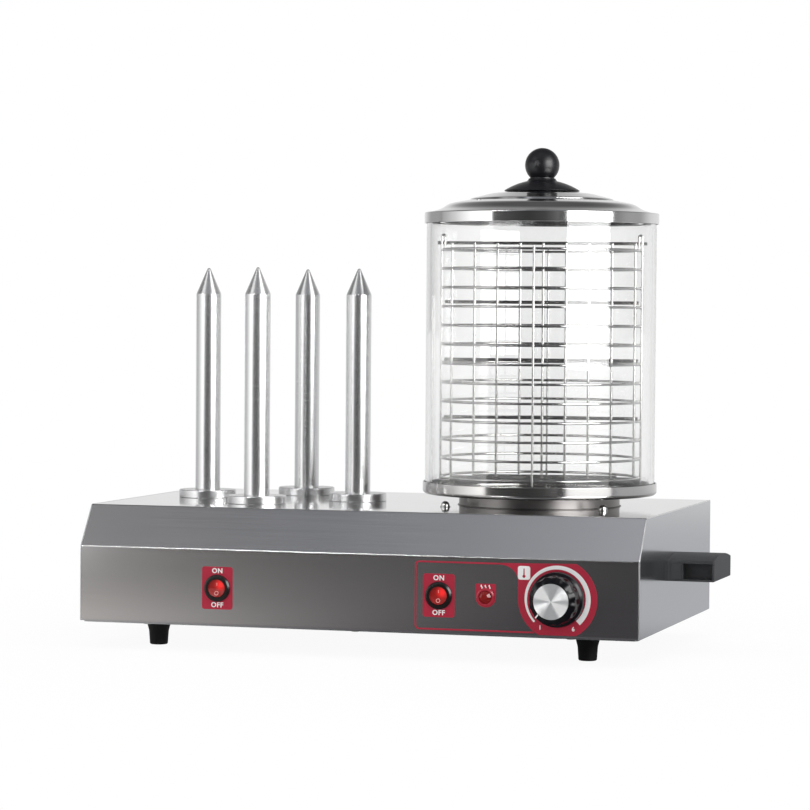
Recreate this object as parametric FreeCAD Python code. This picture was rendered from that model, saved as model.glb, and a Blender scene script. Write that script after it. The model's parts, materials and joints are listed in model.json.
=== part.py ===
"""Counter-top hot dog warmer: heated toasting spikes beside a glass steam cylinder on a steel base.

Units are millimetres. X runs along the length, right is +X. Y runs from the front, -Y, to the
back, +Y. Z is up. The origin is on the floor under the middle of the base.
"""
import FreeCAD, Part
import math
import os

V = FreeCAD.Vector
X_AXIS = V(1, 0, 0)
Y_AXIS = V(0, 1, 0)
Z_AXIS = V(0, 0, 1)

# ---------------------------------------------------------------- driving dimensions
# housing
LENGTH = 489.0
DEPTH = 301.0
BODY_HEIGHT = 98.5
LOWER_FRONT_HEIGHT = 64.2
SLOPE_DEPTH = 26.0
SHEET = 1.0
BEND_RADIUS = 1.8
RETURN_FLANGE = 14.0
END_FLANGE = 12.0
FOOT_HEIGHT = 22.0
BASE_PLATE_INSET = 2.0
VENT_LENGTH = 40.0
VENT_WIDTH = 4.0
VENT_PITCH = 10.0
VENT_COUNT = 6
THREAD_SPARE = 2.0
BORE_SPARE = 1.0

# places along the body, as shares of its length from the middle
SPIKE_CENTRE_SHARE = -0.2393
STEAMER_SHARE = 0.2442
SWITCH_SHARES = (-0.2454, 0.1526)
LAMP_SHARE = 0.2348
THERMOSTAT_SHARE = 0.3597
GLAND_SHARE = -0.3885
BASE_SCREW_SHARE = 0.38

# feet
FOOT_INSET_X = 54.0
FOOT_INSET_Y = 48.5
FOOT_TOP_RADIUS = 11.2
FOOT_WAIST_RADIUS = 8.5
FOOT_TIP_RADIUS = 7.7
FOOT_CONE_HEIGHT = 10.0
FOOT_EDGE = 1.5
M4_RADIUS = 2.0
M4_HEAD_RADIUS = 3.6
M4_HEAD_HEIGHT = 2.4
M4_NUT_RADIUS = 3.9
M4_NUT_HEIGHT = 3.0
SCREW_CLEARANCE = 0.25

# side handles
HANDLE_REACH = 40.0
HANDLE_LENGTH = 76.0
HANDLE_HEIGHT = 19.3
HANDLE_BOTTOM_Z = 63.0
HANDLE_BASE = 14.0
HANDLE_WALL = 2.6
HANDLE_LEDGE = 3.4
HANDLE_POCKET_DEPTH = 9.0
HANDLE_WEB = 3.0
HANDLE_TOP_WALL = 4.0
HANDLE_GRIP_WALL = 6.0
HANDLE_EDGE = 1.2
HANDLE_SCREW_SPACING = 40.0
HANDLE_SCREW_BITE = 9.0

# toasting spikes
SPIKE_CENTRE_X = SPIKE_CENTRE_SHARE * LENGTH
SPIKE_SPREAD = 70.5
SPIKE_RADIUS = 11.15
SPIKE_BORE = 7.0
SPIKE_HEIGHT = 205.6
SPIKE_CONE_HEIGHT = 21.6
SPIKE_TIP_RADIUS = 1.7
SPIKE_DISC_RADIUS = 25.5
SPIKE_DISC_HEIGHT = 7.0
SPIKE_DISC_CHAMFER = 0.7
SPIGOT_LENGTH = 12.0
SPIGOT_WALL = 1.2
SPIKE_NUT_RADIUS = 13.0
SPIKE_NUT_HEIGHT = 5.0
CARTRIDGE_LENGTH = 150.0
CARTRIDGE_TAIL = 8.0
FIT = 0.05

# steam cylinder
STEAMER_X = STEAMER_SHARE * LENGTH
COLLAR_RADIUS = 70.0
COLLAR_HEIGHT = 10.0
COLLAR_WALL = 1.2
COLLAR_LIP = 3.5
COLLAR_SEAT = 8.0
HEATER_OPENING_RADIUS = 62.0
GLASS_RADIUS = 100.0
GLASS_WALL = 4.0
GLASS_HEIGHT = 242.0
GLASS_SEAT_GAP = 0.3
GLASS_SIDE_GAP = 1.0
PAN_SHEET = 1.0
PAN_RADIUS = GLASS_RADIUS + GLASS_SIDE_GAP + PAN_SHEET
PAN_DEPTH = 10.6
PAN_CORNER = 3.5
COLLAR_SCREW_RING = 89.5
COLLAR_SCREW_ANGLES = (-141.0, -39.0, 90.0)
DOME_RADIUS = 3.7
DOME_HEIGHT = 4.2
DOME_WASHER_RADIUS = 4.4
DOME_WASHER_HEIGHT = 0.8

# basket
BASKET_TURN = 9.7
RING_COUNT = 13
RING_RADIUS = 86.0
RING_WIRE = 2.2
RING_LOWEST = 14.0
RING_HEADROOM = 30.6
RING_SPAN = GLASS_HEIGHT - RING_HEADROOM - RING_LOWEST
RING_PITCH = RING_SPAN / (RING_COUNT - 1)
POST_WIRE = 2.0
HOOK_RISE = 10.8
HOOK_REACH = 3.0
BASKET_FOOT_GAP = 0.3
GRID_WIRE = 2.4
GRID_PITCH = 20.0
GRID_UPRIGHTS = 9
GRID_OFFSET = 1.7
GRID_BAR = 3.0
GRID_BAR_COUNT = 3
GRID_BAR_SHARE = 0.2548
GRID_LOWEST_SHARE = 0.2599
GRID_BAR_PITCH = RING_SPAN * GRID_BAR_SHARE
GRID_LOWEST_BAR = RING_LOWEST + RING_SPAN * GRID_LOWEST_SHARE
GRID_TOP_RISE = 6.0
RAIL_REACH = 92.0
WELD_SINK = 0.4
WIRE_FLAT = math.cos(math.pi / 6)
FLOOR_WIRES = 5
FLOOR_PITCH = 28.0

# lid
LID_SHEET = 1.0
LID_RADIUS = GLASS_RADIUS + GLASS_SIDE_GAP + LID_SHEET
LID_BAND_HEIGHT = 9.3
LID_RISE = 18.3
LID_STEPS = (
    (0.0, 1.0), (0.137, 1.0), (0.314, 0.989), (0.427, 0.918), (0.510, 0.809), (0.601, 0.678),
    (0.618, 0.612), (0.696, 0.525), (0.784, 0.421), (0.849, 0.213), (0.887, 0.120), (0.956, 0.0),
)
LID_LEAN = 0.3
LID_SEAT_GAP = 0.3
LID_RING_GAP = 7.3
LID_RING_RADIUS = GLASS_RADIUS - GLASS_WALL - LID_RING_GAP
LID_RING_DROP = 8.0
LID_RING_FOOT = 3.0
VENT_HOLE_RADIUS = 3.2
VENT_HOLE_RING = 67.0
VENT_HOLE_ANGLE = 232.0
KNOB_BALL_RADIUS = 15.0
KNOB_FLANGE_RADIUS = 32.7
KNOB_FLANGE_HEIGHT = 8.9
KNOB_FLANGE_EDGE = 0.6
KNOB_FLANGE_CROWN = (0.75, 0.66)
KNOB_NECK_FILLET = (1.2, 1.6)
KNOB_NECK_RADIUS = 10.5
KNOB_HEIGHT = 38.4
KNOB_BOSS_RADIUS = 13.3
KNOB_BOSS_HEIGHT = 0.6
KNOB_SCREW_RADIUS = 2.5
KNOB_SCREW_BITE = 18.0
KNOB_WASHER_RADIUS = 9.0
KNOB_WASHER_HEIGHT = 1.2

# controls on the lower front
CONTROL_Z = 54.5
SWITCH_X = [share * LENGTH for share in SWITCH_SHARES]
SWITCH_BEZEL_RADIUS = 11.5
SWITCH_BEZEL_HEIGHT = 2.2
SWITCH_BEZEL_ROLL = 1.2
SWITCH_BEZEL_EDGE = 0.4
SWITCH_BODY_RADIUS = 9.95
SWITCH_BODY_DEPTH = 17.0
ROCKER_BALL_RADIUS = 8.2
ROCKER_FACE_ANGLE = 7.0
ROCKER_CROWN = 2.2
ROCKER_BACK = 3.0
ROCKER_GAP = 0.25
ROCKER_PIN_RADIUS = 0.9
ROCKER_PIN_INSET = 1.0
TAB_COUNT = 3
TAB_WIDTH = 4.8
TAB_LENGTH = 8.0
TAB_SHEET = 0.8
TAB_PITCH = 6.0
LAMP_X = LAMP_SHARE * LENGTH
LAMP_RING_RADIUS = 7.7
LAMP_RING_HEIGHT = 2.0
LAMP_RING_CHAMFER = 0.8
LAMP_SEAT = 0.8
LAMP_BODY_RADIUS = 5.0
LAMP_BODY_DEPTH = 20.0
LAMP_LENS_RADIUS = 5.1
LAMP_CROWN_RADIUS = 2.8
LAMP_CROWN_HEIGHT = 2.4
LAMP_LENS_FACETS = 8
THERMOSTAT_X = THERMOSTAT_SHARE * LENGTH
THERMOSTAT_SIZE = 34.0
THERMOSTAT_DEPTH = 26.0
THERMOSTAT_CORNER = 2.0
THERMOSTAT_SCREW_SPACING = 28.0
SHAFT_RADIUS = 3.0
SHAFT_FLAT = 1.5
SHAFT_LENGTH = 16.0
SHAFT_INSET = 10.0
SHAFT_CLEARANCE = 0.08
SHAFT_HOLE_CLEARANCE = 1.0
KNOB_RADIUS = 23.1
KNOB_GRIP_RADIUS = 20.6
KNOB_FACE_RADIUS = 17.6
KNOB_DISC_RADIUS = 15.2
KNOB_DEPTH = 24.0
KNOB_GAP = 1.0
KNOB_SKIRT = 6.0
KNOB_FLARE = 1.5
KNOB_STEP = 14.0
KNOB_SHOULDER = 4.0
KNOB_EDGE = 1.0
KNOB_FLUTES = 12
KNOB_FLUTE_RADIUS = 2.4
KNOB_FLUTE_SET = 1.1
KNOB_RECESS = 4.2
KNOB_WALL = 2.0
DISC_HEIGHT = 0.8

# under the pan
ELEMENT_RADIUS = 45.0
ELEMENT_TUBE = 4.0
ELEMENT_LEG_SPACING = 22.0
ELEMENT_LEG_RADIUS = 3.0
ELEMENT_LEG_DROP = 26.0
CLAMP_RADIUS = 58.0
CLAMP_SHEET = 1.5
PAN_STUD_RADIUS = 3.0
PAN_NUT_RADIUS = 5.6
PAN_NUT_HEIGHT = 5.0
CUTOUT_RADIUS = 8.0
CUTOUT_HEIGHT = 9.0
CUTOUT_Y = 28.0
CUTOUT_TAB_WIDTH = 6.0
CUTOUT_TAB_LENGTH = 7.0
BULB_RADIUS = 3.0
BULB_LENGTH = 56.0
BULB_Y = -22.0
CAPILLARY_RADIUS = 1.0
CAPILLARY_BEND = 8.0

# wiring and supply
TERMINAL_LENGTH = 60.0
TERMINAL_DEPTH = 22.0
TERMINAL_HEIGHT = 18.0
TERMINAL_WAYS = 6
TERMINAL_WELL_RADIUS = 3.0
TERMINAL_X = -20.0
TERMINAL_INSET_Y = 80.5
EARTH_X = 40.0
EARTH_INSET_Y = 40.5
EARTH_LENGTH = 14.0
GLAND_X = GLAND_SHARE * LENGTH
GLAND_Z = 52.0
GLAND_THREAD_RADIUS = 8.0
GLAND_HEX_RADIUS = 11.5
GLAND_HEX_HEIGHT = 5.0
GLAND_DOME_HEIGHT = 19.0
GLAND_TIP_RADIUS = 7.2
GLAND_BORE_RADIUS = 4.5
GLAND_INSIDE = 10.0
GLAND_NUT_HEIGHT = 4.0

# ---------------------------------------------------------------- derived places
BASE_Z = FOOT_HEIGHT + SHEET
TOP_Z = BASE_Z + BODY_HEIGHT
FRONT_Y = -DEPTH / 2
BACK_Y = DEPTH / 2
FOLD_Z = BASE_Z + LOWER_FRONT_HEIGHT
TOP_FRONT_Y = FRONT_Y + SLOPE_DEPTH
TOP_MID_Y = (TOP_FRONT_Y + BACK_Y) / 2
STEAMER = V(STEAMER_X, TOP_MID_Y, TOP_Z)
PAN_Z = TOP_Z + COLLAR_HEIGHT
PAN_FLOOR_Z = PAN_Z + PAN_SHEET
GLASS_Z = PAN_FLOOR_Z + GLASS_SEAT_GAP
GLASS_TOP_Z = GLASS_Z + GLASS_HEIGHT
LID_SEAT_Z = GLASS_TOP_Z + LID_SEAT_GAP
LID_EDGE_Z = LID_SEAT_Z + LID_SHEET
LID_TOP_Z = LID_EDGE_Z + LID_RISE
TERMINAL_Y = BACK_Y - TERMINAL_INSET_Y
EARTH_Y = BACK_Y - EARTH_INSET_Y
SWITCH_BORE = ROCKER_BALL_RADIUS + ROCKER_GAP
POST_REACH = RING_RADIUS + RING_WIRE / 2 + POST_WIRE / 2
HOOK_ALONG = POST_REACH - HOOK_REACH

BODY_PROFILE = [
    (FRONT_Y, BASE_Z),
    (FRONT_Y, FOLD_Z),
    (TOP_FRONT_Y, TOP_Z),
    (BACK_Y, TOP_Z),
    (BACK_Y, BASE_Z),
]


# ---------------------------------------------------------------- construction helpers
def inset(points, distance):
    """Move every edge of a closed outline, drawn clockwise, inwards by a distance."""
    lines = []
    count = len(points)
    for i in range(count):
        (ax, ay), (bx, by) = points[i], points[(i + 1) % count]
        size = math.hypot(bx - ax, by - ay)
        nx, ny = (by - ay) / size, -(bx - ax) / size
        lines.append((nx, ny, nx * ax + ny * ay + distance))
    corners = []
    for i in range(count):
        (a1, b1, c1), (a2, b2, c2) = lines[i - 1], lines[i]
        det = a1 * b2 - a2 * b1
        corners.append(((c1 * b2 - c2 * b1) / det, (a1 * c2 - a2 * c1) / det))
    return corners


def rounded_face(points, radius, place):
    """A flat face with every corner rounded; place turns an outline point into a Vector."""
    edges = []
    starts = []
    ends = []
    count = len(points)
    for i in range(count):
        p = V(*points[i], 0)
        to_last = (V(*points[i - 1], 0) - p).normalize()
        to_next = (V(*points[(i + 1) % count], 0) - p).normalize()
        half = to_last.getAngle(to_next) / 2
        reach = radius / math.tan(half)
        middle = p + (to_last + to_next).normalize() * (radius / math.sin(half) - radius)
        starts.append(p + to_last * reach)
        ends.append(p + to_next * reach)
        flat = [place(q.x, q.y) for q in (starts[i], middle, ends[i])]
        edges.append(Part.Arc(*flat).toShape())
    for i in range(count):
        after = starts[(i + 1) % count]
        edges.append(Part.makeLine(place(ends[i].x, ends[i].y), place(after.x, after.y)))
    return Part.Face(Part.Wire(Part.__sortEdges__(edges)))


def profile_wire(path, place):
    """A closed wire from points; a triple in the path is an arc: middle point, then end point."""
    edges = []
    here = path[0]
    for step in path[1:] + [path[0]]:
        if len(step) == 4:
            middle = place(step[0], step[1])
            end = place(step[2], step[3])
            edges.append(Part.Arc(place(*here), middle, end).toShape())
            here = step[2:]
        else:
            if math.dist(here, step) > 1e-6:
                edges.append(Part.makeLine(place(*here), place(*step)))
            here = step
    return Part.Wire(edges)


def turned(path, at):
    """A solid of revolution about the vertical through a point; the path holds radius, height."""
    wire = profile_wire(path, lambda r, z: V(at.x + r, at.y, at.z + z))
    return Part.Face(wire).revolve(at, Z_AXIS, 360)


def turned_front(path, at):
    """A solid of revolution about the front-to-back line; the path holds radius, reach forwards."""
    wire = profile_wire(path, lambda r, d: V(at.x + r, at.y - d, at.z))
    return Part.Face(wire).revolve(at, Y_AXIS, 360)


def rod(radius, start, end):
    """A round bar between two points."""
    way = end - start
    return Part.makeCylinder(radius, way.Length, start, way)


def ring(outer, inner, height, at, way=Z_AXIS):
    """A flat ring that stands on a point."""
    disc = Part.makeCylinder(outer, height, at, way)
    return disc.cut(Part.makeCylinder(inner, height, at, way))


def hexagon(radius, height, at, way=Z_AXIS):
    """A hexagonal prism that stands on a point; radius is to its corners."""
    side = X_AXIS if abs(way.x) < 0.5 else Z_AXIS
    across = way.cross(side).normalize()
    points = []
    for i in range(7):
        angle = math.radians(60 * i)
        points.append(at + side * (radius * math.cos(angle)) + across * (radius * math.sin(angle)))
    return Part.Face(Part.makePolygon(points)).extrude(way * height)


def slab(x0, x1, y0, y1, z0, z1):
    """A box between two corners."""
    return Part.makeBox(x1 - x0, y1 - y0, z1 - z0, V(x0, y0, z0))


def tube_along(points, radius, bend):
    """A round tube along straight runs joined by tangent arcs."""
    edges = []
    here = points[0]
    for i in range(1, len(points) - 1):
        p = points[i]
        back = (points[i - 1] - p).normalize()
        ahead = (points[i + 1] - p).normalize()
        half = back.getAngle(ahead) / 2
        reach = bend / math.tan(half)
        middle = p + (back + ahead).normalize() * (bend / math.sin(half) - bend)
        start = p + back * reach
        end = p + ahead * reach
        edges.append(Part.makeLine(here, start))
        edges.append(Part.Arc(start, middle, end).toShape())
        here = end
    edges.append(Part.makeLine(here, points[-1]))
    section = Part.Wire(Part.makeCircle(radius, points[0], points[1] - points[0]))
    return Part.Wire(edges).makePipeShell([section], True, False)


def wire_ring(radius, wire, z, at):
    """A closed ring of wire, drawn with a six-sided section to keep it light."""
    section = []
    for i in range(7):
        angle = math.radians(60 * i)
        section.append(V(at.x + radius + wire / 2 * math.cos(angle), at.y,
                         at.z + z + wire / 2 * math.sin(angle)))
    return Part.Face(Part.makePolygon(section)).revolve(at, Z_AXIS, 360)


def wire_bar(start, end, wire):
    """A straight wire between two points, drawn with a six-sided section to keep it light."""
    return hexagon(wire / 2, (end - start).Length, start, (end - start).normalize())


def spots(spacing_x, spacing_y, centre):
    """The four corners of a rectangle about a point."""
    return [centre + V(sx * spacing_x / 2, sy * spacing_y / 2, 0)
            for sx in (-1, 1) for sy in (-1, 1)]


def cut_all(shape, tools):
    """Cut a list of tools from a shape, if there are any."""
    return shape.cut(Part.makeCompound(tools)) if tools else shape


# ---------------------------------------------------------------- housing
def foot_places():
    """Where the four feet meet the base plate."""
    return spots(LENGTH - 2 * FOOT_INSET_X, DEPTH - 2 * FOOT_INSET_Y, V(0, 0, FOOT_HEIGHT))


def base_screw_places():
    """Screws through the base plate into the housing's return flanges."""
    y = DEPTH / 2 - SHEET - RETURN_FLANGE / 2
    reach = BASE_SCREW_SHARE * LENGTH
    return [V(x, side * y, FOOT_HEIGHT) for side in (-1, 1) for x in (-reach, 0, reach)]


def spike_places():
    """Spikes stand in a diamond: left, front, back, right."""
    centre = V(SPIKE_CENTRE_X, TOP_MID_Y, TOP_Z)
    return {
        "left": centre + V(-SPIKE_SPREAD, 0, 0),
        "front": centre + V(0, -SPIKE_SPREAD, 0),
        "back": centre + V(0, SPIKE_SPREAD, 0),
        "right": centre + V(SPIKE_SPREAD, 0, 0),
    }


def collar_screw_places():
    """Three dome-head screws in the top around the collar."""
    turns = [math.radians(a) for a in COLLAR_SCREW_ANGLES]
    return [STEAMER + V(math.cos(a), math.sin(a), 0) * COLLAR_SCREW_RING for a in turns]


def thermostat_screw_places():
    """Two screws beside the thermostat shaft, under the knob."""
    return [V(THERMOSTAT_X + side * THERMOSTAT_SCREW_SPACING / 2, FRONT_Y, CONTROL_Z)
            for side in (-1, 1)]


def handle_screw_places(side):
    """Two screws from inside the end panel into a handle."""
    z = HANDLE_BOTTOM_Z + HANDLE_HEIGHT / 2
    return [V(side * LENGTH / 2, way * HANDLE_SCREW_SPACING / 2, z) for way in (-1, 1)]


def housing_shell():
    """The body's sheet all round, with its two return flanges below, before it is parted."""
    start = -LENGTH / 2 + SHEET
    run = X_AXIS * (LENGTH - 2 * SHEET)
    outer = rounded_face(BODY_PROFILE, BEND_RADIUS, lambda y, z: V(start, y, z)).extrude(run)
    inner_profile = inset(BODY_PROFILE, SHEET)
    inner = rounded_face(inner_profile, BEND_RADIUS - SHEET, lambda y, z: V(start, y, z))
    shell = outer.cut(inner.extrude(run))
    inside = FRONT_Y + SHEET + RETURN_FLANGE
    shell = shell.cut(slab(start, -start, inside, -inside, BASE_Z - SHEET, BASE_Z + 2 * SHEET))
    holes = [Part.makeCylinder(M4_RADIUS + FIT, 4 * SHEET, p) for p in base_screw_places()]
    return cut_all(shell, holes)


def back_room():
    """Everything behind the middle and under the top's back bend."""
    return slab(-LENGTH, LENGTH, 0, DEPTH, 0, TOP_Z - BEND_RADIUS)


def housing_wrap():
    """One folded sheet: return flange, lower front, slanted front and top."""
    through = 4 * SHEET
    front = V(0, FRONT_Y + through / 2, CONTROL_Z)
    tools = []
    for x in SWITCH_X:
        tools.append(Part.makeCylinder(SWITCH_BODY_RADIUS + FIT, through, front + V(x, 0, 0), -Y_AXIS))
    tools.append(Part.makeCylinder(LAMP_BODY_RADIUS + FIT, through, front + V(LAMP_X, 0, 0), -Y_AXIS))
    tools.append(Part.makeCylinder(SHAFT_RADIUS + SHAFT_HOLE_CLEARANCE, through,
                                   front + V(THERMOSTAT_X, 0, 0), -Y_AXIS))
    for p in thermostat_screw_places():
        tools.append(Part.makeCylinder(M4_RADIUS + FIT, through, p + V(0, through / 2, 0), -Y_AXIS))
    down = V(0, 0, -through / 2)
    for p in spike_places().values():
        tools.append(Part.makeCylinder(SPIKE_BORE + SPIGOT_WALL + FIT, through, p + down))
    for p in collar_screw_places():
        tools.append(Part.makeCylinder(M4_RADIUS + FIT, through, p + down))
    tools.append(Part.makeCylinder(HEATER_OPENING_RADIUS, through, STEAMER + down))
    return cut_all(housing_shell().cut(back_room()), tools)


def back_panel():
    """Back wall, welded on under the top's back bend, with its return flange and the gland's hole."""
    hole = Part.makeCylinder(GLAND_THREAD_RADIUS + FIT, 4 * SHEET,
                             V(GLAND_X, BACK_Y - 2 * SHEET, GLAND_Z), Y_AXIS)
    return housing_shell().common(back_room()).cut(hole)


def side_panel(side):
    """Flanged end panel; its flanges lie inside the housing sheet."""
    wall = rounded_face(BODY_PROFILE, BEND_RADIUS, lambda y, z: V(side * LENGTH / 2, y, z))
    wall = wall.extrude(X_AXIS * (-side * SHEET))
    x = side * (LENGTH / 2 - SHEET)
    once = inset(BODY_PROFILE, SHEET)
    twice = inset(BODY_PROFILE, 2 * SHEET)
    rim = rounded_face(once, BEND_RADIUS - SHEET, lambda y, z: V(x, y, z))
    hollow = rounded_face(twice, BEND_RADIUS - SHEET, lambda y, z: V(x, y, z))
    inwards = X_AXIS * (-side * END_FLANGE)
    flange = rim.extrude(inwards).cut(hollow.extrude(inwards))
    panel = wall.fuse(flange).removeSplitter()
    tools = []
    for p in handle_screw_places(side):
        tools.append(Part.makeCylinder(M4_RADIUS + FIT, 4 * SHEET, p - X_AXIS * 2 * SHEET, X_AXIS))
    return cut_all(panel, tools)


def base_plate():
    """Bottom cover with two banks of vent slots."""
    x = LENGTH / 2 - BASE_PLATE_INSET
    y = DEPTH / 2 - BASE_PLATE_INSET
    outline = [(-x, -y), (-x, y), (x, y), (x, -y)]
    plate = rounded_face(outline, 2 * BEND_RADIUS, lambda u, v: V(u, v, FOOT_HEIGHT))
    plate = plate.extrude(Z_AXIS * SHEET)
    tools = []
    for bank in (SPIKE_CENTRE_X, STEAMER_X):
        for i in range(VENT_COUNT):
            mid = (i - (VENT_COUNT - 1) / 2) * VENT_PITCH
            tools.append(slab(bank - VENT_LENGTH / 2, bank + VENT_LENGTH / 2, mid - VENT_WIDTH / 2,
                              mid + VENT_WIDTH / 2, FOOT_HEIGHT - SHEET, FOOT_HEIGHT + 2 * SHEET))
    low = V(0, 0, -SHEET)
    holes = foot_places() + base_screw_places() + [V(EARTH_X, EARTH_Y, FOOT_HEIGHT)]
    for p in holes:
        tools.append(Part.makeCylinder(M4_RADIUS + FIT, 3 * SHEET, p + low))
    return cut_all(plate, tools)


def foot(p):
    """Tapered rubber foot with a recess for its screw head."""
    waist = FOOT_HEIGHT - FOOT_CONE_HEIGHT
    recess = FOOT_HEIGHT / 2
    turn = FOOT_EDGE * (1 - math.sqrt(0.5))
    path = [
        (M4_RADIUS + FIT, FOOT_HEIGHT),
        (FOOT_TOP_RADIUS, FOOT_HEIGHT),
        (FOOT_WAIST_RADIUS, waist),
        (FOOT_TIP_RADIUS, FOOT_EDGE),
        (FOOT_TIP_RADIUS - turn, turn, FOOT_TIP_RADIUS - FOOT_EDGE, 0),
        (M4_HEAD_RADIUS + SCREW_CLEARANCE, 0),
        (M4_HEAD_RADIUS + SCREW_CLEARANCE, recess),
        (M4_RADIUS + FIT, recess),
    ]
    return turned(path, V(p.x, p.y, 0))


def foot_screw(p):
    """Pan-head screw up through a foot, with its nut on the base plate."""
    seat = V(p.x, p.y, FOOT_HEIGHT / 2)
    top = FOOT_HEIGHT + SHEET + M4_NUT_HEIGHT + THREAD_SPARE
    shank = rod(M4_RADIUS, seat, V(p.x, p.y, top))
    head = Part.makeCylinder(M4_HEAD_RADIUS, M4_HEAD_HEIGHT, seat - V(0, 0, M4_HEAD_HEIGHT))
    return shank.fuse(head)


def nut(p, radius, height, bore, way=Z_AXIS):
    """A plain hexagon nut that stands on a point."""
    body = hexagon(radius, height, p, way)
    return body.cut(Part.makeCylinder(bore, height, p, way))


def base_screw(p):
    """Short pan-head screw through the base plate and a return flange."""
    seat = V(p.x, p.y, FOOT_HEIGHT)
    shank = rod(M4_RADIUS, seat, seat + V(0, 0, 3 * SHEET + M4_NUT_HEIGHT))
    head = Part.makeCylinder(M4_HEAD_RADIUS, M4_HEAD_HEIGHT, seat - V(0, 0, M4_HEAD_HEIGHT))
    return shank.fuse(head)


def side_handle(side):
    """Moulded handle: solid base, cored ends and a finger recess that opens downwards."""
    near = LENGTH / 2
    far = near + HANDLE_REACH
    y = HANDLE_LENGTH / 2
    top = HANDLE_BOTTOM_Z + HANDLE_HEIGHT
    body = slab(near, far, -y, y, HANDLE_BOTTOM_Z, top)
    outer_edges = [e for e in body.Edges if e.CenterOfMass.x > far - 1e-3]
    body = body.makeFillet(HANDLE_EDGE, outer_edges)
    pocket_x = near + HANDLE_BASE
    tools = []
    for way in (-1, 1):
        y0, y1 = sorted((way * y, way * (y - HANDLE_POCKET_DEPTH)))
        pocket = slab(pocket_x, far - HANDLE_WALL, y0, y1,
                      HANDLE_BOTTOM_Z + HANDLE_LEDGE, top - HANDLE_LEDGE)
        tools.append(pocket)
    grip_y = y - HANDLE_POCKET_DEPTH - HANDLE_WEB
    tools.append(slab(pocket_x, far - HANDLE_GRIP_WALL, -grip_y, grip_y,
                      HANDLE_BOTTOM_Z, top - HANDLE_TOP_WALL))
    for p in handle_screw_places(1):
        tools.append(rod(M4_RADIUS + FIT, p, p + X_AXIS * (HANDLE_SCREW_BITE + BORE_SPARE)))
    body = cut_all(body, tools)
    return body if side > 0 else body.mirror(V(0, 0, 0), X_AXIS)


def handle_screw(p, side):
    """Screw from inside the end panel into a handle's base."""
    inside = p - X_AXIS * (side * SHEET)
    shank = rod(M4_RADIUS, inside, p + X_AXIS * (side * HANDLE_SCREW_BITE))
    head = rod(M4_HEAD_RADIUS, inside - X_AXIS * (side * M4_HEAD_HEIGHT), inside)
    return shank.fuse(head)


# ---------------------------------------------------------------- toasting spikes
def spike(p):
    """Hollow aluminium spike with a pointed, rounded tip."""
    low = SPIKE_DISC_HEIGHT
    shoulder = SPIKE_HEIGHT - SPIKE_CONE_HEIGHT
    tip = SPIKE_TIP_RADIUS
    slope = math.atan2(SPIKE_RADIUS - tip, SPIKE_CONE_HEIGHT)
    centre = SPIKE_HEIGHT - tip
    bulge = (slope + math.pi / 2) / 2
    path = [
        (SPIKE_BORE + SPIGOT_WALL + FIT, low),
        (SPIKE_RADIUS, low),
        (SPIKE_RADIUS, shoulder),
        (tip * math.cos(slope), centre + tip * math.sin(slope)),
        (tip * math.cos(bulge), centre + tip * math.sin(bulge), 0, SPIKE_HEIGHT),
        (0, shoulder - SPIKE_BORE),
        (SPIKE_BORE, shoulder - SPIKE_BORE),
        (SPIKE_BORE, low + SPIGOT_LENGTH + FIT),
        (SPIKE_BORE + SPIGOT_WALL + FIT, low + SPIGOT_LENGTH + FIT),
    ]
    return turned(path, p)


def spike_disc(p):
    """Round foot of a spike, with a spigot up into it and a threaded stub down through the top."""
    outer = SPIKE_BORE + SPIGOT_WALL
    inner = SPIKE_BORE
    edge = SPIKE_DISC_CHAMFER
    stub = SHEET + SPIKE_NUT_HEIGHT + THREAD_SPARE
    path = [
        (inner, -stub),
        (outer, -stub),
        (outer, 0),
        (SPIKE_DISC_RADIUS, 0),
        (SPIKE_DISC_RADIUS, SPIKE_DISC_HEIGHT - edge),
        (SPIKE_DISC_RADIUS - edge, SPIKE_DISC_HEIGHT),
        (outer, SPIKE_DISC_HEIGHT),
        (outer, SPIKE_DISC_HEIGHT + SPIGOT_LENGTH),
        (inner, SPIKE_DISC_HEIGHT + SPIGOT_LENGTH),
    ]
    return turned(path, p)


def spike_nut(p):
    """Lock nut under the top that holds a spike disc down."""
    seat = p - V(0, 0, SHEET + SPIKE_NUT_HEIGHT)
    return nut(seat, SPIKE_NUT_RADIUS, SPIKE_NUT_HEIGHT, SPIKE_BORE + SPIGOT_WALL + FIT)


def cartridge_heater(p):
    """Cartridge heater inside a spike, reaching down through its disc."""
    low = p - V(0, 0, CARTRIDGE_TAIL + SHEET + SPIKE_NUT_HEIGHT)
    return rod(SPIKE_BORE - FIT, low, low + V(0, 0, CARTRIDGE_LENGTH))


# ---------------------------------------------------------------- steam cylinder
def heater_collar():
    """Round collar that carries the pan above the top."""
    r = COLLAR_RADIUS
    h = COLLAR_HEIGHT
    path = [
        (r - COLLAR_WALL, 0),
        (r + COLLAR_LIP, 0),
        (r + COLLAR_LIP, COLLAR_WALL),
        (r, COLLAR_WALL),
        (r, h),
        (r - COLLAR_SEAT, h),
        (r - COLLAR_SEAT, h - COLLAR_WALL),
        (r - COLLAR_WALL, h - COLLAR_WALL),
    ]
    return turned(path, STEAMER)


def collar_screw(p):
    """Dome-head screw with its washer in the top beside the collar."""
    washer = DOME_WASHER_HEIGHT
    centre = washer + DOME_HEIGHT - DOME_RADIUS
    bulge = DOME_RADIUS * math.sqrt(0.5)
    tail = SHEET + M4_NUT_HEIGHT + THREAD_SPARE
    path = [
        (0, -tail),
        (M4_RADIUS, -tail),
        (M4_RADIUS, 0),
        (DOME_WASHER_RADIUS, 0),
        (DOME_WASHER_RADIUS, washer),
        (DOME_RADIUS, washer),
        (DOME_RADIUS, centre),
        (bulge, centre + bulge, 0, centre + DOME_RADIUS),
    ]
    return turned(path, p)


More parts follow.
